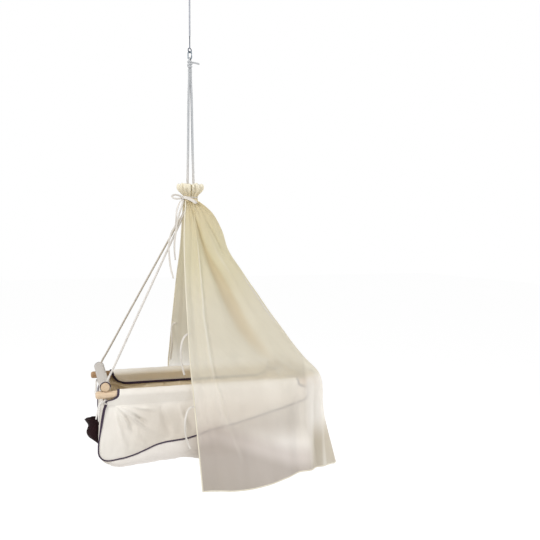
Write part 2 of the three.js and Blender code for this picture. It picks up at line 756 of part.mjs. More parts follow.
function side_panel(side, way) {
  const section = sleeve_section();
  const low = stations.map((share) => edges[side].getPoint(share));
  const lengths = running_lengths(low);
  const along = lengths.map((length) => length / lengths[lengths.length - 1]);
  const lean = section[0][0];
  const grid = [];
  for (let j = 0; j <= wall_steps; j += 1) {
    grid.push(low.map((point, i) => {
      const foot = point.clone().setY(0);
      const head = at(mix(-1, 1, along[i]) * sleeve_end(0), 0, -sleeve_drop);
      const tangent = edges[side].getTangent(stations[i]).setY(0).normalize();
      const share = seam_start([foot, head], tangent) / foot.distanceTo(head);
      const spot = foot.lerp(head, mix(share, 1, j / wall_steps));
      return spot.setY(way * (wall_y(spot.z) + (lean * j) / wall_steps));
    }));
  }
  section.slice(1).forEach(([y, z], k) => {
    const end = sleeve_end((k + 1) / (section.length - 1));
    grid.push(along.map((share) => at(mix(-1, 1, share) * end, way * (half_spacing + y), z)));
  });
  const inward = (point) => {
    const at_rail = point.z > sleeve_edge_rise / 2 - sleeve_drop;
    const target = at_rail ? [way * half_spacing, 0] : [0, point.z];
    return at(0, target[0] - point.y, target[1] - point.z);
  };
  return sheet(grid, cloth_wall, inward);
}
for (const [side, way] of Object.entries(sides)) {
  add(cradle, `${side}_side_panel`, side_panel(side, way), 'canvas');
}

// Piping on the seams between the side panels and the strip
for (const side of Object.keys(sides)) {
  const points = stations.map((share) => edges[side].getPoint(share));
  add(cradle, `${side}_piping`, tube(points, piping_radius, 1, trim_sides), 'piping');
}

// Binding on the free edge of each rail sleeve, up one end, along its inner edge and down the other
function sleeve_binding(way) {
  const section = sleeve_section();
  const slope = Math.max(sleeve_top_inset - sleeve_outer_inset, sleeve_inner_inset - sleeve_top_inset)
    / (sleeve_drop + Math.PI * rail_radius / 2);
  const offset = (binding_radius + 2 * fit_gap) * Math.hypot(1, slope);
  const rise = section.slice(1).map(([y, z], k) => {
    const reach = Math.hypot(y, z);
    const inner = (reach - cloth_wall / 2) / reach;
    const end = sleeve_end((k + 1) / (section.length - 1)) + offset;
    return at(end, way * (half_spacing + y * inner), z * inner);
  });
  const start = at(sleeve_end(0) + offset, rise[0].y, -sleeve_drop).lerp(rise[0], binding_start_share);
  const low = rise[rise.length - 1];
  const aside = -way * cloth_wall / 2;
  const outer_corner = low.clone().add(at(0, aside, -offset));
  const inner_corner = low.clone().add(at(-2 * offset, aside, -offset));
  const half = [start, ...rise, outer_corner, inner_corner];
  const other_half = half.map(({ x, y, z }) => at(-x, y, z)).reverse();
  const middle = at(0, inner_corner.y, inner_corner.z);
  return tube([...half, middle, ...other_half], binding_radius, 1, trim_sides);
}
for (const [side, way] of Object.entries(sides)) {
  add(cradle, `${side}_sleeve_binding`, sleeve_binding(way), 'piping');
}

// Binding round each end of the crossbar sleeves
for (const [end, end_way] of Object.entries(ends)) {
  for (const [side, way] of Object.entries(sides)) {
    const radius = bar_radius + sleeve_ease + cloth_wall / 2;
    const y = way * (bar_length / 2 - bar_sleeve_margin + bar_binding_radius + fit_gap);
    const arc = [];
    for (let i = 0; i <= 8; i += 1) {
      const angle = mix(0, Math.PI, i / 8);
      arc.push(at(bar_x * end_way + radius * Math.cos(angle), y, bar_z + radius * Math.sin(angle)));
    }
    add(cradle, `${end}_${side}_bar_binding`, tube(arc, bar_binding_radius, 1, trim_sides), 'piping');
  }
}

// Mattress: its underside follows the base, its top is crowned
function mattress() {
  const under = thickened(strip, cloth_wall + 2 * fit_gap, strip_inward)
    .slice(base_first + 1, base_first + mattress_steps + 1);
  const columns = (row) => row.slice(mattress_side_count, row.length - mattress_side_count);
  const bottom = under.map(columns);
  const [before, last] = bottom.slice(-2);
  last.forEach((point, i) => point.lerpVectors(before[i], point, mattress_head_share)
    .multiply(at(1, mattress_head_width_share, 1)).add(at(0, 0, mattress_head_lift)));
  const top = bottom.map((row, j) => row.map((point, i, line) => {
    const along = j / (bottom.length - 1);
    const across = i / (line.length - 1);
    const crown = (Math.sin(Math.PI * along) * Math.sin(Math.PI * across)) ** (1 / 2);
    const top_z = mattress_height - body_depth + mattress_crown * (crown - 1);
    return point.clone().setZ(Math.max(top_z, point.z + mattress_edge));
  }));
  return shell(top, bottom);
}
add(cradle, 'mattress', mattress(), 'mattress');

// Brown pouch: a side outline in shares of its reach and height, with rounded cheeks
const pouch_shares = [[0, -0.08], [-0.28, -0.03], [-0.62, 0.1], [-1, 0.07], [-0.74, -0.2],
  [-0.9, -0.52], [-0.82, -0.66], [-0.3, -0.9], [0, -1]];
function foot_pouch() {
  const outline = new THREE.Shape();
  const inset = pouch_bevel / 2;
  pouch_shares.forEach(([x, z], i) => {
    outline[i ? 'lineTo' : 'moveTo'](x * (pouch_reach - inset), z * (pouch_height - inset));
  });
  const body = new THREE.ExtrudeGeometry(outline, { depth: pouch_width - 2 * pouch_bevel,
    bevelEnabled: true, bevelSize: inset, bevelThickness: pouch_bevel, bevelSegments: 2, steps: 1 });
  body.rotateX(Math.PI / 2);
  body.translate(half_rail * keel_shares[2][0], pouch_width / 2 - pouch_bevel, -pouch_drop);
  const moved = (x) => strip_part.slice(0, foot_steps + 1)
    .map((row) => row.map((point) => point.clone().add(at(x, 0, 0))));
  return surface(cut(solid(body), shell(moved(-fit_gap), moved(pouch_reach))));
}
add(cradle, 'foot_pouch', foot_pouch(), 'pouch');

// Veil. Seven lines run from the neck over the rails to the hem; the cloth is spanned between
// them. Shares are of the way out in plan, at shares of the way down from the neck to the rails
const fall_shares = [0, 0.03, 0.075, 0.165, 0.28, 0.41, 0.65, 0.885, 1];
const side_out_shares = [0, 0.04, 0.1, 0.2, 0.31, 0.44, 0.67, 0.89, 1];
const corner_out_shares = [0, 0.06, 0.125, 0.195, 0.25, 0.37, 0.612, 0.865, 1];
const head_out_shares = [0, 0.056, 0.12, 0.19, 0.24, 0.36, 0.585, 0.83, 1];
const hem_fall_shares = [0.35, 0.7, 1];
const rail_top_z = rail_radius + 2 * cloth_wall + fit_gap;
const veil_half_width = half_spacing + sleeve_arc_radius + veil_wall + veil_ease;
const hem_z = -veil_drop;

function veil_line(neck, rail, hem, out_shares) {
  const points = fall_shares.map((fall, i) => at(mix(neck[0], rail[0], out_shares[i]),
    mix(neck[1], rail[1], out_shares[i]), mix(neck_height - fit_gap, rail_top_z, fall)));
  for (const share of hem_fall_shares) {
    points.push(at(mix(rail[0], hem[0], share), mix(rail[1], hem[1], share),
      mix(rail_top_z, hem[2], share)));
  }
  return new THREE.CatmullRomCurve3(points);
}
function neck_spot(angle) {
  return [-hang_offset + neck_radius * Math.cos(angle), neck_radius * Math.sin(angle)];
}
const middle_x = half_rail * veil_middle_share;
const hem_middle_x = half_rail * veil_hem_middle_share;
const corner_x = half_rail + veil_corner_ease;
const nose_x = half_rail + veil_head_reach;
function side_lines(way) {
  const wide = way * veil_half_width;
  const flared = way * (veil_half_width + veil_side_flare);
  const turn = (degrees) => neck_spot(way * THREE.MathUtils.degToRad(degrees));
  return [
    veil_line(turn(140), [veil_edge_offset, wide], [veil_edge_offset / 2, flared, hem_z],
      side_out_shares),
    veil_line(turn(95), [middle_x, wide], [hem_middle_x, flared + way * veil_ease, hem_z],
      side_out_shares),
    veil_line(turn(45), [corner_x, wide], [corner_x, flared - way * veil_ease,
      hem_z + corner_lift], corner_out_shares),
  ];
}
const nose_line = veil_line(neck_spot(0), [nose_x, 0], [nose_x + veil_head_flare, 0, hem_z],
  head_out_shares);
const veil_lines = [...side_lines(-1), nose_line, ...side_lines(1).reverse()];

function veil_point(around, down) {
  const ring = new THREE.CatmullRomCurve3(veil_lines.map((line) => line.getPoint(down)));
  const point = ring.getPoint(around);
  const tangent = ring.getTangent(around);
  const out = at(tangent.y, -tangent.x, 0).normalize();
  const growth = Math.min(1, down / fold_growth_share) ** fold_growth_power;
  const wave = 1 / 2 - Math.cos(2 * Math.PI * 3 * folds_per_panel * around) / 2;
  return point.addScaledVector(out, fold_depth * growth * wave);
}
function veil_panel(from, to) {
  const columns = 4 * folds_per_panel;
  const rows = 11;
  const grid = [];
  for (let j = 0; j <= rows; j += 1) {
    const row = [];
    for (let i = 0; i <= columns; i += 1) row.push(veil_point(mix(from, to, i / columns), j / rows));
    const pull = (edge, next) => edge.add(next.clone().sub(edge).setLength(fit_gap / 2));
    pull(row[0], row[1]);
    pull(row[columns], row[columns - 1]);
    grid.push(row);
  }
  const inward = (point) => {
    const fall = THREE.MathUtils.clamp(1 - point.z / neck_height, 0, 1);
    return at(mix(-hang_offset, middle_x, fall) - point.x, -point.y, 0);
  };
  return sheet(grid, veil_wall, inward);
}
const seams = [0, 1 / 3, 2 / 3, 1];
['veil_near_panel', 'veil_head_panel', 'veil_far_panel'].forEach((name, i) => {
  add(cradle, name, veil_panel(seams[i], seams[i + 1]), 'veil');
});

// Gathered top of the veil: a pleated bunch round the ropes that opens into a ruffle
function pleated_ring(radius, height, depth) {
  const row = [];
  const count = 4 * pleat_count;
  for (let i = 0; i <= count; i += 1) {
    const angle = (2 * Math.PI * i) / count;
    const reach = radius + (depth * Math.cos(pleat_count * angle)) / 2;
    row.push(at(reach * Math.cos(angle), reach * Math.sin(angle), height));
  }
  return row;
}
// A pleated body of [radius, height, pleat depth] levels, closed on its middle line
function pleated_body(levels) {
  const rings = levels.map((level) => pleated_ring(...level));
  const position = [];
  const index = [];
  const count = rings[0].length - 1;
  rings.forEach((ring) => ring.slice(0, count).forEach((point) => position.push(...point.toArray())));
  const low = position.push(0, 0, levels[0][1]) / 3 - 1;
  const high = position.push(0, 0, levels[levels.length - 1][1]) / 3 - 1;
  for (let i = 0; i < count; i += 1) {
    const next = (i + 1) % count;
    for (let j = 0; j < rings.length - 1; j += 1) {
      const [a, b] = [j * count + i, j * count + next];
      index.push(a, b, b + count, a, b + count, a + count);
    }
    const top = (rings.length - 1) * count;
    index.push(low, next, i, high, top + i, top + next);
  }
  const geometry = new THREE.BufferGeometry();
  geometry.setAttribute('position', new THREE.Float32BufferAttribute(position, 3));
  geometry.setIndex(index);
  return outward(geometry);
}
function veil_gather() {
  const outer = pleated_body([
    [neck_radius - veil_wall, 0, pleat_depth / 2],
    [gather_waist_radius, gather_waist_height, pleat_depth / 2],
    [neck_radius + pleat_depth, gather_plug_height + rope_diameter, pleat_depth],
    [gather_top_radius, gather_height, 2 * pleat_depth],
  ]);
  const hollow = pleated_body([
    [gather_waist_radius - cloth_wall, gather_plug_height, pleat_depth],
    [gather_top_radius - cloth_wall, gather_height + fit_gap, 2 * pleat_depth],
    [gather_top_radius - cloth_wall, gather_height + overrun, 2 * pleat_depth],
  ]);
  const slots = [-1, 1].map((way) => {
    const radius = rope_radius + fit_gap;
    const outline = new THREE.Shape();
    outline.absarc(0, strand_step, radius, 0, Math.PI, false);
    outline.absarc(0, -strand_step, radius, Math.PI, 2 * Math.PI, false);
    return new THREE.ExtrudeGeometry(outline, { depth: gather_height + 2 * overrun,
      bevelEnabled: false, curveSegments: 6 }).translate(way * neck_pair_x, 0, -overrun);
  });
  return surface(cut(solid(outer), hollow, ...slots)).translate(-hang_offset, 0, neck_height);
}
add(cradle, 'veil_gather', veil_gather(), 'veil');

// Drawstring: a ring round the gather with a knot and two loops, and two tails
const drawstring_radius = drawstring_diameter / 2;
const drawstring_z = neck_height + gather_waist_height;
const drawstring_reach = gather_waist_radius + pleat_depth / 2 + drawstring_radius;
const bow_x = -hang_offset - drawstring_reach - bow_knot_radius / 2;
const bow_y = -bow_knot_radius;
const bow = (x, y, z) => at(bow_x + x, bow_y + y, drawstring_z + z);
function drawstring() {
  const ring = new THREE.TorusGeometry(drawstring_reach, drawstring_radius, trim_sides + 1, 2 * pleat_count)
    .translate(-hang_offset, 0, drawstring_z);
  const knot = new THREE.SphereGeometry(bow_knot_radius, 8, 6).translate(...bow(0, 0, 0).toArray());
  const side_loop = tube([bow(0, 0, 1), bow(-18, -2, 7), bow(-38, -4, 9), bow(-46, -5, 4),
    bow(-38, -6, -2), bow(-18, -4, -5), bow(0, 0, -1)], drawstring_radius, 2, trim_sides + 1);
  const front_loop = tube([bow(0, 0, 0), bow(8, -14, 2), bow(24, -32, 1), bow(44, -41, -6),
    bow(52, -42, -18), bow(38, -40, -27), bow(18, -32, -24), bow(4, -13, -9), bow(0, 0, -1)],
    drawstring_radius, 2, trim_sides + 1);
  return surface(join(ring, knot, side_loop, front_loop));
}
add(cradle, 'drawstring', drawstring(), 'tie');
const tail_start = -bow_knot_radius - 2 * fit_gap;
const long_tail = [bow(-2, -2, tail_start), bow(-8, -6, -26), bow(-22, -22, -60), bow(-40, -42, -120),
  bow(-57, -58, -176), bow(-60, -64, -215), bow(-57, -66, -255), bow(-50, -67, -300),
  bow(-42, -67, -345)];
const short_tail = [bow(3, -2, tail_start), bow(-4, -16, -34), bow(-20, -38, -90),
  bow(-30, -48, -150), bow(-35, -50, -195), bow(-34, -50, -235), bow(-32, -50, -268)];
add(cradle, 'drawstring_long_tail', tube(long_tail, drawstring_radius, 2, trim_sides + 1), 'tie');
add(cradle, 'drawstring_short_tail', tube(short_tail, drawstring_radius, 2, trim_sides + 1), 'tie');

// Ties sewn to the veil's two front edges: flat tapes that hang from a height on the edge. The
// routes are steps from that place: outward from the hem's edge, away from the middle, and up
function tape(points) {
  const path = new PointPath(points, false, 'centripetal');
  const count = 2 * (points.length - 1);
  const grid = [];
  for (let i = 0; i <= count; i += 1) {
    const spot = path.getPoint(i / count);
    const tangent = path.getTangent(i / count);
    const side = at(-tangent.z, 0, tangent.x).setLength(tie_width / 2);
    grid.push([spot.clone().sub(side), spot.clone().add(side)]);
  }
  return sheet(grid, tie_thickness, (point) => at(0, -point.y, 0));
}
const tie_starts = { upper: 0.575, lower: 0.78 };
const tie_gaps = { upper: 2 * fit_gap, lower: -fit_gap };
const tie_routes = {
  near_upper: [[9, 1, 0], [26, 5, -11], [38, 7, -38], [42, 8, -76], [38, 8, -120], [28, 9, -168]],
  near_lower: [[12, 2, 0], [26, 3, -10], [36, 3, -38], [40, 2, -80], [34, 1, -126], [18, 0, -172]],
  far_upper: [[10, 1, 0], [20, 3, -14], [21, 6, -48], [18, 9, -100], [26, 11, -168]],
  far_lower: [[12, 2, 0], [26, 3, -10], [36, 3, -38], [40, 2, -80], [34, 1, -126], [18, 0, -172]],
};
for (const [name, route] of Object.entries(tie_routes)) {
  const [side, height] = name.split('_');
  const way = sides[side];
  const start = veil_point(way < 0 ? 0 : 1, tie_starts[height]).add(at(-tie_gaps[height], 0, 0));
  const points = [at(), ...route.map(([x, y, z]) => at(-x, way * y, z))];
  add(cradle, `${name}_tie`, tape(points.map((step) => step.add(start))), 'tie');
}

export default part;
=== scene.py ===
import math

import bpy
import numpy as np
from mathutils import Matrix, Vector, noise


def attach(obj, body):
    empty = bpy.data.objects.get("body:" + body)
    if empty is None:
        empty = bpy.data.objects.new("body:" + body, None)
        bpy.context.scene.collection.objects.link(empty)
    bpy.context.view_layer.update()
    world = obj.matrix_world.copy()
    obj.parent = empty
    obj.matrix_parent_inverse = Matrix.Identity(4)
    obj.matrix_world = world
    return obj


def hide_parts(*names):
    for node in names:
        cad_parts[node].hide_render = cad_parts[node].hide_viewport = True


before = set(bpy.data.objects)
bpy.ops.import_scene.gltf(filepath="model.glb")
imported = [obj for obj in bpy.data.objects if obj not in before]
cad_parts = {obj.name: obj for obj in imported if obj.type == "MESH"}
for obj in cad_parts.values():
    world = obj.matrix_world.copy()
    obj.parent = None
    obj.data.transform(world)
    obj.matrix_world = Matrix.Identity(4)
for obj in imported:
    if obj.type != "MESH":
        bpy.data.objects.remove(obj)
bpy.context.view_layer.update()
scene = bpy.context.scene

# Real sizes in millimetres, in the cradle's own frame: origin midway between the rails
HANG = np.array([42.0, 0.0, -1760.0])
HALF_RAIL, HALF_SPACING, RAIL_R, BAR_R = 460.0, 206.0, 15.0, 17.5
BAR_X, BAR_Z, BAR_LENGTH = 423.0, 32.8, 444.0
ROPE_R, BODY_DEPTH, SLEEVE_DROP, SQUARE = 3.75, 320.0, 45.0, 5.0
CLOTH, EASE, GAP = 2.0, 1.9, 0.3
CLOTH_DRAWN = CLOTH / 1000 * 0.9
NECK_Z, HOOK_X = 772.0, -42.0
TROUGH_MIDDLE = [0, 0, -107]
SIDES = {"near": -1, "far": 1}
ENDS = {"foot": -1, "head": 1}
CORNERS = [(end, end_way, side, way) for end, end_way in ENDS.items() for side, way in SIDES.items()]


def place(points):
    """Cradle-frame millimetres to the row frame's metres."""
    return (np.asarray(points, float) + HANG) / 1000


def metres(points):
    """Row-frame millimetres to metres."""
    return np.asarray(points, float) / 1000


# Camera, at the photograph's viewing angle
LENS, SENSOR_WIDTH = 44.84, 36.0
CAMERA_PLACE, CAMERA_DEGREES = (-0.5388, -2.8888, -1.144), (87.23, 0.0, -17.27)
camera = bpy.data.cameras.new("camera")
camera.lens, camera.sensor_width = LENS, SENSOR_WIDTH
camera_object = bpy.data.objects.new("camera", camera)
camera_object.location = CAMERA_PLACE
camera_object.rotation_euler = [math.radians(v) for v in CAMERA_DEGREES]
scene.collection.objects.link(camera_object)
scene.camera = camera_object


# Curves
def unit(vectors):
    return vectors / np.maximum(np.linalg.norm(vectors, axis=-1, keepdims=True), 1e-9)


def whole_turn(count):
    return np.linspace(0, 2 * math.pi, count, endpoint=False)


def xyz(x, y, z):
    """Points from their coordinates, any of which may be one number for them all."""
    return np.stack(np.broadcast_arrays(x, y, z), axis=-1)


def run_along(points):
    """The running length at each point of a polyline."""
    return np.concatenate([[0], np.cumsum(np.linalg.norm(np.diff(points, axis=0), axis=1))])


class Path:
    """A centripetal Catmull-Rom curve through its points, evaluated at shares of its spans."""

    def __init__(self, points):
        p = np.asarray(points, float)
        p = np.vstack([2 * p[0] - p[1], p, 2 * p[-1] - p[-2]])
        gap = np.maximum(np.linalg.norm(np.diff(p, axis=0), axis=1) ** 0.5, 1e-4)
        self.p, self.gap, self.spans = p, gap, len(p) - 3

    def at(self, shares):
        t = np.clip(np.atleast_1d(np.asarray(shares, float)), 0, 1) * self.spans
        i = np.minimum(t.astype(int), self.spans - 1)
        w = (t - i)[:, None]
        a, b, c, d = (self.p[i + k] for k in range(4))
        g0, g1, g2 = (self.gap[i + k][:, None] for k in range(3))
        m1 = ((b - a) / g0 - (c - a) / (g0 + g1) + (c - b) / g1) * g1
        m2 = ((c - b) / g1 - (d - b) / (g1 + g2) + (d - c) / g2) * g1
        return (b + m1 * w + (-3 * b + 3 * c - 2 * m1 - m2) * w**2
                + (2 * b - 2 * c + m1 + m2) * w**3)


def resample(points, count, cut=0.0):
    """Points evenly spaced along a polyline, with its two ends drawn in by a cut."""
    points = np.asarray(points, float)
    run = run_along(points)
    goal = np.linspace(cut, run[-1] - cut, count)
    return np.stack([np.interp(goal, run, points[:, k]) for k in range(3)], axis=1)


def smooth_path(points, step):
    """A curve through points, sampled every step."""
    fine = Path(points).at(np.linspace(0, 1, 24 * (len(points) - 1) + 1))
    return resample(fine, max(4, int(round(run_along(fine)[-1] / step)) + 1))


def ramp(value, low, high):
    t = np.clip((value - low) / (high - low), 0, 1)
    return t * t * (3 - 2 * t)


def ripple(points, scale, seed):
    """Smooth seeded noise from -1 to 1 at each point."""
    flat = np.asarray(points, float).reshape(-1, 3) / scale + seed
    return np.array([noise.noise(Vector(p)) for p in flat]).reshape(np.shape(points)[:-1])


# Meshes
def build(name, verts, faces, uvs, slots=None):
    mesh = bpy.data.meshes.new(name)
    mesh.from_pydata([tuple(v) for v in verts], [], [tuple(f) for f in faces])
    layer = mesh.uv_layers.new(name="UVMap")
    loops = np.array([loop.vertex_index for loop in mesh.loops])
    layer.data.foreach_set("uv", np.asarray(uvs, np.float32)[loops].ravel())
    if slots is not None:
        mesh.polygons.foreach_set("material_index", slots)
    mesh.polygons.foreach_set("use_smooth", [True] * len(mesh.polygons))
    mesh.validate()
    mesh.update()
    piece = bpy.data.objects.new(name, mesh)
    scene.collection.objects.link(piece)
    return piece


def arc_uv(grid):
    """Running lengths across and down a grid, in its own unit."""
    across = np.linalg.norm(np.diff(grid, axis=1), axis=2)
    down = np.linalg.norm(np.diff(grid, axis=0), axis=2)
    u = np.hstack([np.zeros((len(grid), 1)), np.cumsum(across, axis=1)])
    v = np.vstack([np.zeros((1, grid.shape[1])), np.cumsum(down, axis=0)])
    return np.stack([u - u.mean(axis=1, keepdims=True), v], axis=2).reshape(-1, 2)


def numbered(grid):
    return np.arange(grid.shape[0] * grid.shape[1]).reshape(grid.shape[:2])


def quads_of(ids):
    return np.stack([ids[:-1, :-1], ids[1:, :-1], ids[1:, 1:], ids[:-1, 1:]], axis=2).reshape(-1, 4)


def normals(grid):
    return unit(np.cross(np.gradient(grid, axis=1), np.gradient(grid, axis=0)))


def facing(grid, inward):
    """The grid's normals, turned to the inward side."""
    n = normals(grid)
    return -n if np.einsum("ijk,ijk->", n, inward) < 0 else n


def shell(name, outer, inner, flip, two_looks=True):
    """A closed skin between two grids in metres: slot 0 outside and on the rim, 1 inside."""
    ids = numbered(outer)
    size = ids.size
    quads = quads_of(ids) if flip else quads_of(ids)[:, ::-1]
    rim = [*ids[0], *ids[1:, -1], *ids[-1, ::-1][1:], *ids[::-1, 0][1:]]
    sides = np.array([(a, b, b + size, a + size) for a, b in zip(rim[:-1], rim[1:])])
    faces = np.vstack([quads, quads[:, ::-1] + size, sides if flip else sides[:, ::-1]])
    slots = [0] * len(quads) + [1] * len(quads) + [0] * len(sides)
    verts = np.vstack([outer.reshape(-1, 3), inner.reshape(-1, 3)])
    return build(name, verts, faces, np.tile(arc_uv(outer), (2, 1)), slots if two_looks else None)


def cloth(name, grid, wall, inward):
    """A sheet of cloth with a wall, from a grid in metres and the way to its inner side."""
    n = facing(grid, inward)
    return shell(name, grid, grid + n * wall, np.einsum("ijk,ijk->", normals(grid), n) > 0)


def set_round(path, sections, side, up):
    """Sections (rings, sides, 2) set at the points of a path, along its side and up ways."""
    return path[:, None] + sections[..., :1] * side[:, None] + sections[..., 1:] * up[:, None]


def sweep(path, sections, side=None):
    """Points of a tube: sections carried along a path without twist."""
    path = np.asarray(path, float)
    tangent = unit(np.gradient(path, axis=0))
    if side is None:
        frames = [unit(np.cross(tangent[0], np.eye(3)[np.argmin(np.abs(tangent[0]))]))]
        for t in tangent[1:]:
            frames.append(unit(frames[-1] - t * np.dot(frames[-1], t)))
        side = np.array(frames)
    else:
        side = unit(side - tangent * np.einsum("ij,ij->i", side, tangent)[:, None])
    return set_round(path, sections, side, np.cross(tangent, side))


def loop_tangent(path):
    return unit(np.roll(path, -1, axis=0) - np.roll(path, 1, axis=0))


def loop_sweep(path, sections, side, up=None):
    """The same round a closed path, whose last point isn't its first."""
    side = np.broadcast_to(side, path.shape)
    up = np.cross(loop_tangent(path), side) if up is None else np.broadcast_to(up, path.shape)
    return set_round(path, sections, side, up)


def tube_piece(name, rings, capped=True, closed=False):
    """A skin over rings of points, either closed on itself or with an end face at both ends."""
    count, sides = rings.shape[:2]
    ids = numbered(rings)
    lanes = np.vstack([ids, ids[:1]]) if closed else ids
    lanes = np.hstack([lanes, lanes[:, :1]])
    faces = list(quads_of(lanes)[:, [0, 3, 2, 1]])
    if capped and not closed:
        faces += [ids[0][::-1], ids[-1]]
    centre = rings.mean(axis=1)
    girth = 2 * math.pi * np.linalg.norm(rings[0] - centre[0], axis=1).mean()
    around = np.linspace(0, girth, sides, endpoint=False)
    uv = np.stack(np.meshgrid(around, run_along(centre)), axis=2)
    return build(name, rings.reshape(-1, 3), faces, uv.reshape(-1, 2))


def circle(sides, radius_x, radius_y=None):
    a = whole_turn(sides)
    return np.stack([radius_x * np.cos(a), (radius_y or radius_x) * np.sin(a)], axis=1)


def laid(a, angle, radius, low):
    """A section of three laid strands at angles a, turned by angle at each ring."""
    r = radius * (low + (1 - low) * np.abs(np.cos(1.5 * a)))
    return np.stack([r * np.cos(a + angle), r * np.sin(a + angle)], axis=2)


def rope_piece(name, points, radius, step=2.0, pitch=24.0, sides=18):
    """Laid rope along a curve, blunt at its ends; its path comes too."""
    path = smooth_path(points, step)
    run = run_along(path)[:, None]
    blunt = np.sqrt(np.clip(0.35 + 0.65 * np.minimum(run, run[-1] - run) / (0.9 * radius), 0, 1))
    sections = laid(whole_turn(sides)[None], 2 * math.pi * run / pitch, radius * blunt, 0.94)
    return tube_piece(name, place(sweep(path, sections))), place(path)


def rope_loop(name, path, side, radius, turns, sides=14, low=0.88, up=None):
    """A closed loop of laid rope that turns some times on its way round."""
    angle = turns * whole_turn(len(path))[:, None]
    sections = laid(whole_turn(sides)[None], angle, radius, low)
    return tube_piece(name, place(loop_sweep(path, sections, side, up)), closed=True)


def knot_piece(name, centre, radius, height, thick, turn=0.0):
    """A tight overhand knot: a trefoil's path, swept with laid rope."""
    t = whole_turn(72)
    reach = (radius - thick) / 3
    path = about_z(xyz(reach * (np.sin(t) + 2 * np.sin(2 * t)), reach * (np.cos(t) - 2 * np.cos(2 * t)),
                       (thick - height / 2) * np.sin(3 * t)), turn)
    side = unit(np.cross(loop_tangent(path), path))
    return rope_loop(name, path + np.asarray(centre), side, thick, 6)


def band_rings(path, half, thick, side, sides, power):
    """Rings of a flat band: half its width at each point, and how square its edges are."""
    ring = circle(sides, 1.0)
    depth = np.sign(ring[:, 1]) * np.abs(ring[:, 1]) ** power * thick / 2
    sections = np.stack([ring[:, 0] * half[:, None], np.tile(depth, (len(path), 1))], axis=2)
    return place(sweep(path, sections, side=side))


def about_z(points, turn):
    c, s = math.cos(turn), math.sin(turn)
    x, y, z = np.moveaxis(points, -1, 0)
    return xyz(x * c - y * s, x * s + y * c, z)


def lathe(profile, sides, axis="z"):
    """Rings of a body of revolution, from [radius, height] pairs in millimetres about the origin."""
    r, h = np.array(profile, float).T[..., None]
    rings = xyz(r * np.cos(whole_turn(sides)), r * np.sin(whole_turn(sides)), h)
    return rings[..., {"x": [2, 0, 1], "y": [1, 2, 0], "z": [0, 1, 2]}[axis]]


def join(name, *pieces):
    """One object from several."""
    for o in bpy.context.selected_objects:
        o.select_set(False)
    for o in pieces:
        o.select_set(True)
    bpy.context.view_layer.objects.active = pieces[0]
    bpy.ops.object.join()
    pieces[0].name = name
    pieces[0].data.name = name
    return pieces[0]


def bore(piece, cutters, smooth):
    """Cuts holes with booleans and applies them."""
    for cutter in cutters:
        modifier = piece.modifiers.new("bore", "BOOLEAN")
        modifier.operation, modifier.solver, modifier.object = "DIFFERENCE", "EXACT", cutter
    graph = bpy.context.evaluated_depsgraph_get()
    mesh = bpy.data.meshes.new_from_object(piece.evaluated_get(graph))
    piece.modifiers.clear()
    piece.data = mesh
    mesh.polygons.foreach_set("use_smooth", [smooth] * len(mesh.polygons))
    for cutter in cutters:
        bpy.data.objects.remove(cutter)


# Materials. Their heights are metres under the ceiling: the rails lie at -1.76, the keel at -2.08
def rgb(r, g, b):
    return tuple(v / 12.92 if v <= 0.04045 else ((v + 0.055) / 1.055) ** 2.4
                 for v in (r / 255, g / 255, b / 255)) + (1.0,)


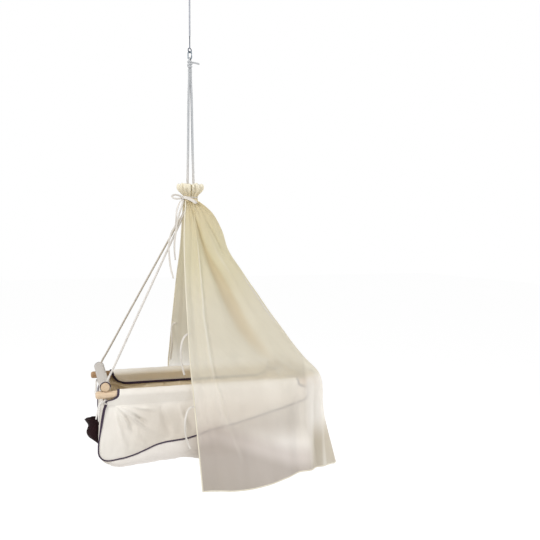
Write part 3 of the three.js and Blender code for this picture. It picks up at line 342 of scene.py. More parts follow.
class Shader:
    """A Principled material with short helpers for its nodes."""

    def __init__(self, name, roughness, metallic=0.0, sheen=0.0, specular=0.3):
        self.material = bpy.data.materials.new(name)
        self.material.use_nodes = True
        self.tree = self.material.node_tree
        self.main = self.tree.nodes["Principled BSDF"]
        settings = {"Roughness": roughness, "Metallic": metallic, "Sheen Weight": sheen,
                    "Sheen Roughness": 0.5, "Specular IOR Level": specular}
        for socket, value in settings.items():
            self.put(self.main, socket, value)

    def put(self, node, socket, value):
        if isinstance(value, bpy.types.NodeSocket):
            self.tree.links.new(value, node.inputs[socket])
        else:
            node.inputs[socket].default_value = value

    def node(self, kind, out=0, **inputs):
        """An output of a new node. Inputs go by name, or i0 and i1 by number; set_ names a field."""
        fields = {k: inputs.pop(k) for k in list(inputs) if k.startswith("set_")}
        made = self.tree.nodes.new("ShaderNode" + kind)
        for k, v in fields.items():
            setattr(made, k[4:], v)
        for k, v in inputs.items():
            self.put(made, int(k[1:]) if k[0] == "i" and k[1:].isdigit() else k.replace("_", " "), v)
        return made.outputs[out]

    def math(self, operation, a, b=0.0, c=0.0):
        return self.node("Math", set_operation=operation, i0=a, i1=b, i2=c)

    def add(self, a, b):
        return self.math("ADD", a, b)

    def times(self, a, b, plus=0.0):
        return self.math("MULTIPLY_ADD", a, b, plus)

    def here(self, axis=None, source="Object"):
        """The point on the part in metres, or one coordinate of it."""
        vector = self.node("TexCoord", out=source)
        return vector if axis is None else self.node("SeparateXYZ", out=axis, Vector=vector)

    def uv(self, axis=None):
        return self.here(axis, "UV")

    def noise(self, vector, scale, detail=3.0):
        return self.node("TexNoise", Vector=vector, Scale=scale, Detail=detail, Roughness=0.55)

    def scaled(self, vector, x, y, z=1.0):
        return self.node("Mapping", Vector=vector, Scale=(x, y, z))

    def band(self, value, pitch):
        """A soft wave from 0 to 1 along a length in metres."""
        return self.times(self.math("SINE", self.times(value, 2 * math.pi / pitch)), 0.5, 0.5)

    def step(self, value, low, high):
        return self.node("MapRange", set_interpolation_type="SMOOTHSTEP", Value=value, i1=low, i2=high)

    def blend(self, share, a, b):
        made = self.tree.nodes.new("ShaderNodeMix")
        made.data_type = "RGBA"
        for socket, value in ((0, share), (6, a), (7, b)):
            self.put(made, socket, value)
        return made.outputs[2]

    def bump(self, height, strength, distance):
        self.put(self.main, "Normal", self.node("Bump", Height=height, Strength=strength, Distance=distance))

    def colour(self, value):
        self.put(self.main, "Base Color", value)

    def tint(self, share, colour):
        """Draws the colour so far towards another."""
        before = self.main.inputs["Base Color"].links[0].from_socket
        self.colour(self.blend(share, before, colour))

    def weave(self, pitch):
        """Over-and-under threads along both ways of the UV map, which is in metres."""
        u, v = self.uv(0), self.uv(1)
        cross = self.band(self.times(u, 0.5, self.times(v, 0.5)), pitch)
        either = self.math("MAXIMUM", self.band(u, pitch), self.band(v, pitch))
        return self.times(either, self.times(cross, 0.5, 0.5))


def fabric(name, base, dark, pitch, sheen=0.25, mottle=0.5):
    """Woven cotton: threads, slubs along them and broad uneven tone."""
    s = Shader(name, 0.92, sheen=sheen, specular=0.15)
    threads, grain = s.weave(pitch), 0.35
    slubs = s.add(s.noise(s.scaled(s.uv(), 60, 900), 1.0), s.noise(s.scaled(s.uv(), 900, 60), 1.0))
    tone = s.times(s.noise(s.here(), 9.0, detail=5), mottle, s.times(slubs, 0.25))
    s.colour(s.blend(s.step(tone, 0.25, 0.25 + mottle), dark, base))
    s.tint(s.times(threads, -grain, grain), dark)
    s.bump(s.times(slubs, 0.6, threads), 0.5, 0.0004)
    return s


def wood(name, pale, brown, axis):
    """Planed wood: rings round an axis, so the ends show them, and streaks along it."""
    s = Shader(name, 0.55, specular=0.35)
    turn = {"x": (0, math.pi / 2, 0), "y": (math.pi / 2, 0, 0)}[axis]
    spot = s.node("Mapping", Vector=s.here(), Rotation=turn)
    long = s.scaled(spot, 1, 1, 0.06)
    pith = s.node("VectorMath", set_operation="ADD", i0=long, i1=(0.017, 0.009, 0.0))
    rings = s.node("TexWave", set_wave_type="RINGS", set_rings_direction="Z", Vector=pith, Scale=62.0,
                   Distortion=3.2, Detail=2.0, i4=1.4)
    fibre = s.noise(s.scaled(spot, 900, 900, 18), 1.0, detail=2)
    share = s.times(rings, 0.38, s.times(s.noise(long, 26.0, detail=4), 0.55, s.times(fibre, 0.22)))
    s.colour(s.blend(s.step(share, 0.3, 0.95), pale, brown))
    s.put(s.main, "Roughness", s.times(fibre, 0.25, 0.42))
    s.bump(s.times(rings, 0.4, fibre), 0.25, 0.0003)
    return s


def cord_look(name, base, dark, fibre_pitch=0.0012, greyer_above_neck=False):
    """Twisted cotton: fine fibres that run slantwise round the cord, and, if asked, greyer from the veil's
    neck upward.
    """
    s = Shader(name, 0.93, sheen=0.1, specular=0.12)
    fibres = s.band(s.times(s.uv(1), 0.55, s.uv(0)), fibre_pitch)
    fuzz = s.noise(s.here(), 1400.0, detail=2)
    share = s.times(fibres, 0.3, s.times(fuzz, 0.3, s.times(s.noise(s.here(), 22.0), 0.55)))
    share = s.step(share, 0.15, 0.7)
    s.colour(s.blend(share, dark, base))
    if greyer_above_neck:
        s.tint(s.step(s.here(2), -0.98, -0.72), s.blend(share, rgb(166, 169, 172), rgb(191, 193, 195)))
    s.bump(s.add(fibres, fuzz), 0.3, 0.0003)
    return s


def metal(name, base, painted_lower_shade, roughness):
    s = Shader(name, roughness, metallic=1.0)
    scuffs = s.noise(s.scaled(s.here(), 1, 1, 6), 260.0, detail=4)
    share = s.times(scuffs, 0.6, s.times(s.noise(s.here(), 60.0), 0.4))
    s.colour(s.blend(s.step(share, 0.35, 0.7), base, painted_lower_shade))
    s.put(s.main, "Roughness", s.times(scuffs, 0.25, roughness - 0.1))
    s.bump(scuffs, 0.08, 0.0002)
    return s


def coated(name):
    s = Shader(name, 0.45, specular=0.4)
    scuff = s.noise(s.here(), 180.0, detail=4)
    s.colour(s.blend(s.step(scuff, 0.35, 0.7), rgb(146, 149, 157), rgb(172, 174, 181)))
    s.bump(s.band(s.here(2), 0.004), 0.15, 0.0002)
    return s


def voile(name, stops, glow, cover):
    """Thin cotton voile: open threads, soft streaks, light through it, and a browner tone in its
    deep folds, where more of it lies behind, which is painted shade and painted light through the
    doubled cloth. Ridges get a painted highlight, the far side and the low corner at the head a painted
    shade. Stops are a height in metres and a colour, and paint light and shade by height; cover is
    how much of what is behind it hides above the rails, beside the trough and below it."""
    s = Shader(name, 0.95, sheen=0.12, specular=0.08)
    threads = s.weave(0.0009)
    streak = s.noise(s.scaled(s.uv(), 18, 5), 1.0)
    broad = s.noise(s.here(), 4.0)
    x, height = s.here(0), s.here(2)
    # The trough's shade on the veil starts lower towards the head end
    past = s.math("MINIMUM", s.math("MAXIMUM", s.math("SUBTRACT", x, 0.06), 0.0), 0.33)
    under = s.times(s.times(past, 0.4), s.step(height, -1.8, -1.9), height)
    tone = stops[0][1]
    for (z0, _), (z1, colour) in zip(stops[:-1], stops[1:]):
        tone = s.blend(s.step(under, z0, z1), tone, colour)
    s.colour(tone)
    # Painted shade at the low corner of the veil at the head end
    s.tint(s.times(s.step(x, 0.44, 0.49), s.step(height, -1.9, -2.02)), rgb(212, 204, 188))
    # Painted shade and light through the doubled cloth in the deep folds
    fold = s.node("Attribute", out="Fac", set_attribute_name="fold")
    deep = s.times(s.step(fold, -2.0, -19.0), s.step(height, -1.76, -1.6))
    s.tint(s.times(deep, 0.34), rgb(200, 172, 120))
    # Painted highlight on the fold ridges
    s.tint(s.times(s.step(fold, 9.0, 15.0), 0.6), rgb(252, 249, 240))
    s.tint(s.times(s.step(s.times(streak, 0.5, s.times(broad, 0.4)), 0.65, 0.3), 0.08), rgb(150, 128, 92))
    # Painted shade on the far side of the veil
    s.tint(s.times(s.step(s.here(1), 0.05, 0.16), 0.3), rgb(176, 160, 124))
    above, beside, below = cover
    hidden = s.times(s.step(height, -1.6, -1.74), beside - above, above)
    hidden = s.times(s.step(height, -1.91, -2.01), below - beside, hidden)
    hidden = s.math("MAXIMUM", hidden, s.times(s.step(x, 0.4, 0.46), above))
    s.put(s.main, "Alpha", s.times(threads, 0.08, hidden))
    s.bump(s.times(streak, 0.5, threads), 0.25, 0.0003)
    shade = s.main.inputs["Base Color"].links[0].from_socket
    mixed = s.node("MixShader", Fac=glow, i1=s.main.outputs[0], i2=s.node("BsdfTranslucent", Color=shade))
    s.tree.links.new(mixed, s.tree.nodes["Material Output"].inputs[0])
    return s


# The inside of the canvas: its warm beige is painted shade inside the trough, and a painted light makes it
# lighter towards the foot end
canvas_inside_shaded = fabric("canvas_inside_shaded", rgb(242, 227, 200), rgb(222, 204, 174), 0.0011, mottle=0.7)
canvas_inside_shaded.tint(canvas_inside_shaded.step(canvas_inside_shaded.here(0), -0.36, -0.44), rgb(255, 248, 228))
binding = fabric("binding", rgb(88, 76, 92), rgb(60, 48, 64), 0.0008, sheen=0.1, mottle=0.8)
# Painted shade: a darker copy of the binding for the far side
far_binding_shaded = fabric("far_binding_shaded", rgb(66, 50, 68), rgb(44, 32, 46), 0.0008, sheen=0.2, mottle=0.8)
mattress_look = fabric("mattress_cotton", rgb(238, 232, 220), rgb(222, 214, 200), 0.0013)
pouch_look = fabric("brown_cloth", rgb(44, 22, 25), rgb(26, 12, 15), 0.0016, sheen=0.05, mottle=0.9)
rope_look = cord_look("rope_cotton", rgb(224, 219, 213), rgb(206, 199, 190), greyer_above_neck=True)
# Painted shade: a darker, tan copy of the rope for the far side
rope_tan_shaded = cord_look("rope_cotton_tan_shaded", rgb(204, 196, 184), rgb(180, 170, 156), greyer_above_neck=True)
tail_look = cord_look("rope_tail_cotton", rgb(246, 243, 238), rgb(222, 215, 206))
string_look = cord_look("white_cord", rgb(226, 221, 214), rgb(196, 189, 180), fibre_pitch=0.0009)
tape_look = fabric("white_tape", rgb(238, 234, 227), rgb(214, 207, 198), 0.0009)
wood_near = wood("wood_pale", rgb(230, 208, 180), rgb(202, 172, 136), "x")
# Painted shade: a darker, browner copy of the rail wood for the far rail
wood_far_shaded = wood("wood_tan_shaded", rgb(186, 152, 116), rgb(146, 110, 76), "x")
wood_bar = wood("wood_bar", rgb(224, 202, 174), rgb(196, 166, 130), "y")
steel = metal("grey_steel", rgb(78, 92, 102), rgb(112, 124, 132), 0.38)
dark_steel = metal("dark_steel", rgb(52, 60, 74), rgb(80, 90, 104), 0.42)
zinc = metal("zinc_steel", rgb(168, 174, 178), rgb(196, 200, 202), 0.36)
cable_look = coated("cable_coat")
# Painted light and shade by height: golden and darker near the neck, near white where the lit trough lies
# behind, greyer under the trough
veil_tones = [(-0.98, rgb(226, 214, 180)), (-1.2, rgb(229, 222, 193)), (-1.5, rgb(235, 230, 213)),
              (-1.715, rgb(241, 237, 223)), (-1.75, rgb(255, 253, 248)), (-1.87, rgb(255, 251, 245)),
              (-1.94, rgb(232, 224, 218)), (-2.0, rgb(204, 195, 187)), (-2.19, rgb(192, 183, 173))]
veil_look = voile("voile", veil_tones, 0.36, (0.86, 0.5, 0.92))
gather_tones = [(-0.9, rgb(255, 251, 236)), (-0.98, rgb(234, 222, 190))]
gather_look = voile("voile_gathered", gather_tones, 0.25, (0.92, 0.92, 0.92))
hem_look = fabric("veil_hem", rgb(240, 234, 216), rgb(224, 216, 196), 0.0009)


def dress(piece, *looks, slot, nodes=(), body="cradle"):
    """Gives a piece its materials and its body, and hides the CAD nodes that it stands for; slot is not used.
    """
    for look in looks:
        piece.data.materials.append(look.material)
    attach(piece, body)
    if nodes:
        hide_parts(*nodes)


# Free cords: two tails under each knot, the drawstring's tails, and four tapes on the veil
KNOT_R, KNOT_H, KNOT_TOP = 11.0, 25.0, -RAIL_R - GAP
TAIL_R, STRING_R, STRING_W = 3.0, 2.5, 6.0
TAPE_W, TAPE_T, TIE_W, TIE_T = 8.0, 2.6, 8.0, 1.4
# Where each tail leaves its knot: the share of the way down and the angle round it, and its route
tail_rings = {"upper": 0.32, "lower": 0.68}
tail_ways = {"upper": math.radians(39), "lower": math.radians(-12)}
tail_routes = {
    "upper": [[6, 5, -1], [16, 7, -12], [22, 6, -38], [28, 5, -68]],
    "lower": [[6, -1, -1], [11, 0, -17], [14, 2, -43], [15, 3, -71]],
}


for end, end_way, side, way in CORNERS:
    for height, route in tail_routes.items():
        angle, reach = tail_ways[height], KNOT_R + GAP
        start = np.array([BAR_X + reach * math.cos(angle), HALF_SPACING + reach * math.sin(angle),
                          KNOT_TOP - KNOT_H * tail_rings[height]])
        spread = 0.35 if way > 0 else 1.0
        steps = np.array([[0, 0, 0], *route], float) * [spread, spread, 1] + start
        name = f"{end}_{side}_{height}_tail"
        piece, path = rope_piece(name + "_rope", steps * [end_way, way, 1], TAIL_R,
                                 step=1.2, pitch=17.0, sides=12)
        dress(piece, tail_look, slot="rope", nodes=[name])

BOW = np.array([HOOK_X - 35.5, -6.5, NECK_Z + 16.0])
string_tails = {
    "drawstring_long_tail": [(-2, -2, -7.1), (-16, -6, -26), (-29, -18, -60), (-38, -34, -120),
                             (-56, -46, -148), (-70, -58, -200), (-70, -64, -245), (-64, -66, -300),
                             (-53, -67, -345)],
    "drawstring_short_tail": [(3, -2, -7.1), (-6, -16, -34), (-26, -34, -90), (-38, -42, -150),
                              (-44, -44, -195), (-44, -46, -235), (-41, -46, -268)],
}


def tape_piece(name, points, twist=0.6, width=TAPE_W):
    """A flat woven tape along a curve, turning a little on its way; its path comes too."""
    path = smooth_path(points, 1.5)
    along = unit(np.gradient(path, axis=0))
    flat = np.cross(along, [-0.3, -0.95, 0.0])
    share = np.linspace(0, 1, len(path))
    turn = twist * np.sin(5.1 * share + len(name))[:, None]
    side = flat * np.cos(turn) + np.cross(along, flat) * np.sin(turn)
    to_end = np.minimum(share, 1 - share) * run_along(path)[-1]
    half = width / 2 * np.sqrt(np.clip(0.4 + to_end / 3, 0, 1))
    return tube_piece(name, band_rings(path, half, TAPE_T, side, 16, 0.7)), place(path)


for name, steps in string_tails.items():
    piece, path = tape_piece(name + "_string", BOW + np.array(steps, float))
    dress(piece, string_look, slot="tie", nodes=[name])

# The veil's lines, from the neck over the rails to the hem: shares of the way down to the rails,
# and of the way out at each, for the side, corner and head lines
fall = [0, 0.03, 0.075, 0.165, 0.28, 0.41, 0.65, 0.885, 1]
side_out = [0, 0.04, 0.1, 0.2, 0.31, 0.44, 0.67, 0.89, 1]
corner_out = [0, 0.058, 0.12, 0.186, 0.24, 0.365, 0.605, 0.862, 1]
head_out = [0, 0.056, 0.12, 0.19, 0.24, 0.36, 0.585, 0.83, 1]
RAIL_TOP, HEM_Z, VEIL_EASE = 19.3, -425.0, 7.0
VEIL_HALF = HALF_SPACING + RAIL_R + EASE + CLOTH + 1.2 + VEIL_EASE
FLARED, NECK_R = VEIL_HALF + 26.0, 33.0
MIDDLE_X, CORNER_X, NOSE_X = HALF_RAIL * 0.28, HALF_RAIL + 4.0, HALF_RAIL + 32.0


def veil_line(degrees, rail, hem, out):
    """One line from the neck, at an angle round it, over a place at the rail's height to the hem."""
    angle = math.radians(degrees)
    neck_x, neck_y = HOOK_X + NECK_R * math.cos(angle), NECK_R * math.sin(angle)
    points = [[neck_x + (rail[0] - neck_x) * o, neck_y + (rail[1] - neck_y) * o,
               (NECK_Z - GAP) * (1 - f) + RAIL_TOP * f] for f, o in zip(fall, out)]
    rail_point, hem_point = np.array([*rail, RAIL_TOP]), np.array(hem, float)
    points += [rail_point + (hem_point - rail_point) * s for s in (0.35, 0.7, 1)]
    return Path(points)


def side_lines(way):
    wide, flared = way * VEIL_HALF, way * FLARED
    middle_hem = [HALF_RAIL * 0.322, flared + way * VEIL_EASE, HEM_Z + 8]
    corner_hem = [CORNER_X, flared - way * 22, HEM_Z + 62]
    return [veil_line(way * 140, [-82, wide], [-48, flared, HEM_Z + 18], side_out),
            veil_line(way * 95, [MIDDLE_X, wide], middle_hem, side_out),
            veil_line(way * 45, [CORNER_X - 7, wide - way * 10], corner_hem, corner_out)]


nose = veil_line(0, [NOSE_X, 0], [NOSE_X + 126, 0, HEM_Z], head_out)
veil_lines = [*side_lines(-1), nose, *side_lines(1)[::-1]]


def veil_base(around, down):
    """The veil without folds: a grid of points, with the way out of each."""
    columns = [line.at(down) for line in veil_lines]
    grid, out = [], []
    for j in range(len(down)):
        ring = Path([c[j] for c in columns])
        tangent = ring.at(around + 1e-4) - ring.at(around - 1e-4)
        grid.append(ring.at(around))
        out.append(unit(xyz(tangent[:, 1], -tangent[:, 0], 0)))
    return np.array(grid), np.array(out)


# Long folds of the veil: [down, around, height in millimetres, half width around]
long_folds = [
    [[0.02, 0.2, 2, 0.01], [0.15, 0.15, 6, 0.01], [0.28, 0.103, 8, 0.01], [0.4, 0.085, 9, 0.01],
     [0.54, 0.065, 9, 0.009], [0.72, 0.075, 9, 0.008], [0.8, 0.098, 8, 0.01], [0.9, 0.14, 5, 0.018],
     [1, 0.17, 0, 0.04]],
    [[0.06, 0.13, -3, 0.014], [0.2, 0.133, -12, 0.02], [0.305, 0.142, -20, 0.026],
     [0.415, 0.172, -28, 0.032], [0.49, 0.2, -28, 0.034], [0.57, 0.215, -21, 0.032],
     [0.625, 0.237, -15, 0.028], [0.69, 0.273, -5, 0.024], [0.74, 0.29, 0, 0.02]],
    [[0.2, 0.235, 0, 0.01], [0.28, 0.26, -7, 0.011], [0.34, 0.283, -7, 0.012], [0.44, 0.3, 0, 0.016]],
    [[0.1, 0.22, 0, 0.014], [0.25, 0.21, 5, 0.018], [0.4, 0.24, 8, 0.026], [0.52, 0.265, 6, 0.028],
     [0.66, 0.3, 0, 0.03]],
    [[0.1, 0.075, 0, 0.01], [0.3, 0.055, -6, 0.012], [0.5, 0.028, -7, 0.013], [0.7, 0.03, -5, 0.014],
     [0.95, 0.06, -5, 0.02], [1, 0.07, -4, 0.02]],
    [[0.66, 0.262, 0, 0.012], [0.76, 0.268, -9, 0.014], [0.86, 0.272, -14, 0.016],
     [0.95, 0.276, -18, 0.018], [1, 0.28, -20, 0.02]],
    [[0.66, 0.29, 0, 0.014], [0.76, 0.295, 6, 0.015], [0.9, 0.3, 10, 0.016], [1, 0.303, 12, 0.018]],
    [[0.7, 0.315, 0, 0.008], [0.8, 0.318, -7, 0.009], [0.92, 0.32, -9, 0.01], [1, 0.322, -10, 0.012]],
    [[0.7, 0.34, 0, 0.014], [0.85, 0.345, 7, 0.016], [1, 0.35, 9, 0.018]],
    [[0.3, 0.03, 0, 0.012], [0.5, 0.028, -2.5, 0.014], [0.75, 0.035, -3, 0.014], [1, 0.03, -2, 0.02]],
    [[0.72, 0.19, 0, 0.02], [0.85, 0.2, 3.5, 0.022], [1, 0.21, 5, 0.026]],
    [[0.76, 0.235, 0, 0.014], [0.88, 0.24, -3.5, 0.016], [1, 0.245, -5, 0.018]],
]
# Small waves of the cloth: how many go round, their height, phase and drift
small_waves = [(9, 8.0, 0.4, 0.6), (21, 2.6, 0.8, 0.9), (37, 1.1, 2.1, -1.4)]


def folds(around, down):
    """How far the cloth stands out from its base, in millimetres."""
    a, d = around[None, :], down[:, None]
    tight = np.exp(-(((a - 0.315) / 0.07) ** 2)) * np.exp(-(((d - 0.5) / 0.36) ** 2))
    total = 5.0 - 4.0 * tight
    for fold in long_folds:
        depth, *values = np.array(fold, float).T
        centre, tall, half = (np.interp(down, depth, v)[:, None] for v in values)
        inside = ((down >= depth[0]) & (down <= depth[-1]))[:, None]
        total = total + inside * tall * np.exp(-(((a - centre) / half) ** 2))
    loose = np.minimum(1, d / 0.5)
    beyond = ramp(a, 0.35, 0.42) * loose**0.9
    for count, height, phase, drift in small_waves:
        wave = 0.5 - np.cos(2 * math.pi * count * a + phase + drift * d * 2) / 2
        total = total + height * (beyond + 0.12 * loose) * (wave**1.3 - 0.4)
    top = np.exp(-((d / 0.2) ** 2))
    return total + 3.0 * top * np.cos(2 * math.pi * 22 * a) - 4.0 * top


around, down = np.linspace(0, 1, 361), np.linspace(0, 1, 181)
base, out = veil_base(around, down)
stand = folds(around, down)
veil_grid = base + out * stand[..., None]
crumple = ripple(veil_grid * [1, 1, 0.4], 60.0, 3.7) * 2.5 * ramp(down, 0.1, 0.5)[:, None]
veil_grid += out * crumple[..., None]
near_bow = -15 * np.sin(math.pi * np.clip((down - 0.08) / 0.66, 0, 1)) ** 1.2
far_flare = -26 * ramp(down, 0.3, 0.7) + 20 * ramp(down, 0.74, 1.0)
veil_grid[..., 0] += near_bow[:, None] * (1 - ramp(around, 0.0, 0.07))[None, :]
veil_grid[..., 0] += far_flare[:, None] * ramp(around, 0.9, 1.0)[None, :]

# The ties: the share of the way down at which each is sewn on, its gap to the edge, and its route
tie_starts = {"upper": 0.575, "lower": 0.78}
tie_gaps = {"upper": 0.6, "lower": -0.3}
lower_tie = [[12, 2, 0], [26, 3, -10], [36, 3, -38], [40, 2, -80], [34, 1, -126], [18, 0, -172]]
tie_routes = {
    "near_upper": [[9, 1, 0], [26, 5, -11], [38, 7, -38], [42, 8, -76], [38, 8, -120], [28, 9, -168]],
    "near_lower": lower_tie,
    "far_upper": [[10, 1, 0], [20, 3, -14], [21, 6, -48], [18, 9, -100], [26, 11, -168]],
    "far_lower": lower_tie,
}
for name, route in tie_routes.items():
    side, height = name.split("_")
    way = SIDES[side]
    edge, _ = veil_base(np.array([0.0 if way < 0 else 1.0]), np.array([tie_starts[height]]))
    start = edge[0, 0] + [-tie_gaps[height], 0, 0]
    path = smooth_path(np.array([[0, 0, 0], *route], float) * [-1, way, 1] + start, 1.5)
    along = np.gradient(path, axis=0)
    share = np.linspace(0, 1, len(path))
    curl = 0.5 * np.sin(6.3 * share + len(name))
    flat = xyz(-along[:, 2], curl * np.abs(along[:, 2]), along[:, 0])
    half = TIE_W / 2 * (0.35 + 0.65 * ramp(share, 0.0, 0.08))
    piece = tube_piece(name + "_tape", band_rings(path, half, TIE_T, flat, 14, 0.6))
    dress(piece, tape_look, slot="tie", nodes=[name + "_tie"])
    knot = knot_piece(name + "_tie_knot", start + [-3.0, way * 1.0, 0.0], 6.0, 8.0, 1.9)
    dress(knot, tape_look, slot="tie")

# Wooden frame
HOLE_R = ROPE_R + 0.75


def turned(name, profile, sides, spot, to_metres=place):
    """A piece turned about the upright axis through a spot."""
    return tube_piece(name, to_metres(lathe(profile, sides) + np.asarray(spot)))


def stick(name, radius, length, axis, centre, holes, look, node, blunt):
    """A round stick with rounded ends and bored holes for the ropes."""
    half = length / 2
    nose = [[0.0, -half]]
    nose += [[radius - blunt + blunt * math.sin(a), blunt - half - blunt * math.cos(a)]
             for a in np.linspace(0, math.pi / 2, 11)]
    body = [[radius, h] for h in np.linspace(blunt + 2 - half, half - blunt - 2, 24)]
    rings = lathe(nose + body + [[r, -h] for r, h in nose[::-1]], 56, axis)
    rings[0], rings[-1] = rings[0].mean(axis=0), rings[-1].mean(axis=0)
    piece = tube_piece(name, place(rings + np.asarray(centre)), capped=False)
    bore(piece, [turned("cutter", [[HOLE_R, -40], [HOLE_R, 40]], 32, hole) for hole in holes], smooth=True)
    dress(piece, look, slot="wood", nodes=[node])


for side, way in SIDES.items():
    y = way * HALF_SPACING
    stick(f"{side}_rail_wood", RAIL_R, 2 * HALF_RAIL, "x", [0, y, 0], [[-BAR_X, y, 0], [BAR_X, y, 0]],
          wood_near if way < 0 else wood_far_shaded, f"{side}_rail", 9.0)
for end, way in ENDS.items():
    x = way * BAR_X
    stick(f"{end}_crossbar_wood", BAR_R, BAR_LENGTH, "y", [x, 0, BAR_Z],
          [[x, -HALF_SPACING, BAR_Z], [x, HALF_SPACING, BAR_Z]], wood_bar, f"{end}_crossbar", 3.0)

# Ropes from under each rail to the top knot
CARABINER_LOW, CEILING_Z, CLIP_WIRE = -383.0, 1760.0, 2.25
TOP_KNOT_H, TOP_KNOT_R = 36.0, 10.5
KNOT_Z = CEILING_Z + CARABINER_LOW - CLIP_WIRE - GAP - TOP_KNOT_H
STEP, PAIR_X = ROPE_R + GAP / 2, 11.0
WRAP_R = BAR_R + EASE + CLOTH
BUNDLE_Z = KNOT_Z - 133.3
SWELL = 1.17


def rope_route(end_way, way):
    """From under the rail, over the crossbar and through the veil's neck up to the top knot."""
    x, y = end_way * BAR_X, way * HALF_SPACING
    top = np.array([x - end_way * 10, y, BAR_Z + WRAP_R + 2])
    neck = np.array([HOOK_X + end_way * PAIR_X, way * STEP, NECK_Z - 15])
    bend = 18 / NECK_Z
    taut = [top + (neck - top) * s for s in (bend, 2 * bend, 1 / 3, 2 / 3, 1 - 2 * bend, 1 - bend / 2)]
    taut[0][2] += 2
    above = [(NECK_Z - ROPE_R, PAIR_X), (NECK_Z + 7.5, PAIR_X), (NECK_Z + 74, PAIR_X + 1.8),
             (NECK_Z + 205, 10.2), (NECK_Z + 370, 7.9), (BUNDLE_Z + 25, 6.2), (KNOT_Z - 50, STEP),
             (KNOT_Z - GAP, STEP)]
    return [[x, y, -RAIL_R], [x, y, BAR_Z - BAR_R], [x - end_way * 7, y, BAR_Z + BAR_R], top, *taut,
            *([HOOK_X + end_way * spread, way * STEP, z] for z, spread in above)]


for end, end_way, side, way in CORNERS:
    piece, _ = rope_piece(f"{end}_{side}_laid_rope", rope_route(end_way, way), ROPE_R * SWELL)
    dress(piece, rope_look if way < 0 else rope_tan_shaded, slot="rope", nodes=[f"{end}_{side}_rope"])
    under = np.array([end_way * BAR_X, way * HALF_SPACING, KNOT_TOP])
    knot = knot_piece("stopper", under - [0, 0, KNOT_H / 2 + 0.5], KNOT_R + 1.2, KNOT_H - 3, 3.9,
                      turn=0.4 * end_way + 0.3 * way)
    core = turned("core", [[0.1, 1 - KNOT_H], [5.5, 3 - KNOT_H], [6.5, -12], [5.0, -1]], 18, under)
    knot = join(f"{end}_{side}_stopper", knot, core)
    dress(knot, rope_look, slot="rope", nodes=[f"{end}_{side}_knot"])

# Top knot, its loop through the carabiner and its cut tail
CLIP_TURN = math.radians(-30)
across = np.array([-math.sin(CLIP_TURN), math.cos(CLIP_TURN), 0])
loop_r, bow_z, base_z = CLIP_WIRE + GAP + ROPE_R, CEILING_Z + CARABINER_LOW, KNOT_Z + TOP_KNOT_H - 7.5
middle_z = (base_z + bow_z) / 2
arc = [[-loop_r, base_z], [-loop_r, middle_z], [-loop_r, bow_z]]
arc += [[-loop_r * math.cos(a), bow_z + loop_r * math.sin(a)] for a in np.linspace(0, math.pi, 9)[1:-1]]
arc += [[loop_r, bow_z], [loop_r, middle_z], [loop_r, base_z]]
loop, _ = rope_piece("loop", [across * r + [HOOK_X, 0, z] for r, z in arc], ROPE_R, step=1.2)
tail_z = KNOT_Z + TOP_KNOT_H * 0.68
tail_points = [[HOOK_X, 0, tail_z], [HOOK_X + 15, -2, tail_z + 1], [HOOK_X + 41, -4, tail_z - 4]]
tail, _ = rope_piece("tail", tail_points, ROPE_R * 0.96, step=1.5)
wraps = []
for k in range(3):
    a = whole_turn(48)
    radius, height = TOP_KNOT_R - ROPE_R + 0.6, KNOT_Z + 8.5 + 9.0 * k + 2.2 * np.sin(a + 2.1 * k)
    ring = xyz(HOOK_X + radius * np.cos(a), radius * np.sin(a), height)
    wraps.append(rope_loop(f"wrap{k}", ring, [0, 0, 1.0], ROPE_R * 1.12, 2))
core = turned("core", [[0.1, 0.5], [7.0, 1.5], [8.0, 18], [7.0, 33], [0.1, 35]], 20, [HOOK_X, 0, KNOT_Z])
top_knot = join("top_rope_knot", *wraps, core, loop, tail)
dress(top_knot, rope_look, slot="rope", nodes=["top_knot"])

# Fabric body: the piping and the keel in shares of the rail's half length and of the trough's depth
piping_shares = [[-0.928, -0.165], [-0.945, -0.3], [-0.962, -0.45], [-0.98, -0.647], [-0.972, -0.766],
                 [-0.922, -0.834], [-0.765, -0.797], [-0.413, -0.69], [-0.05, -0.57], [0.4, -0.43],
                 [0.75, -0.3], [0.89, -0.235], [0.928, -0.165]]
keel_shares = [[-0.928, -0.165], [-0.938, -0.3], [-0.949, -0.45], [-0.959, -0.647], [-0.955, -0.77],
               [-0.938, -0.885], [-0.85, -0.985], [-0.45, -1], [0, -1], [0.44, -0.975],
               [0.8, -0.84], [0.955, -0.56], [0.94, -0.19]]
FOOT_SEAM, HEAD_SEAM = 5.4 / 12, 10.4 / 12
STRIP_SQUARE, STRIP_COLUMNS, WALL_STEPS, SEAM_GAP = 3.4, 61, 44, 1.6
# The wave of the piping's lower stretch and the lift of the base, in millimetres along the rails
wave_x = [-425, -385, -350, -310, -268, -225, -185, -140, -100, -60, -20, 60, 130]
wave_z = [0, -4, -8, -5, 3, 12, 11, 4, -2, -2, 3, 2, 0]
lift_x = [-420, -346, -278, -222, -173, -102, -75, -45, 60, 160, 256, 403]
lift_z = [0, 3, 3, 5, 9, 14, 8, -2, 2, 4, 0, 0]


def wall_y(z):
    share = np.clip((-np.asarray(z, float) - SLEEVE_DROP) / (BODY_DEPTH - SLEEVE_DROP), 0, 1)
    return HALF_SPACING * (1 - share**SQUARE) ** (1 / SQUARE)


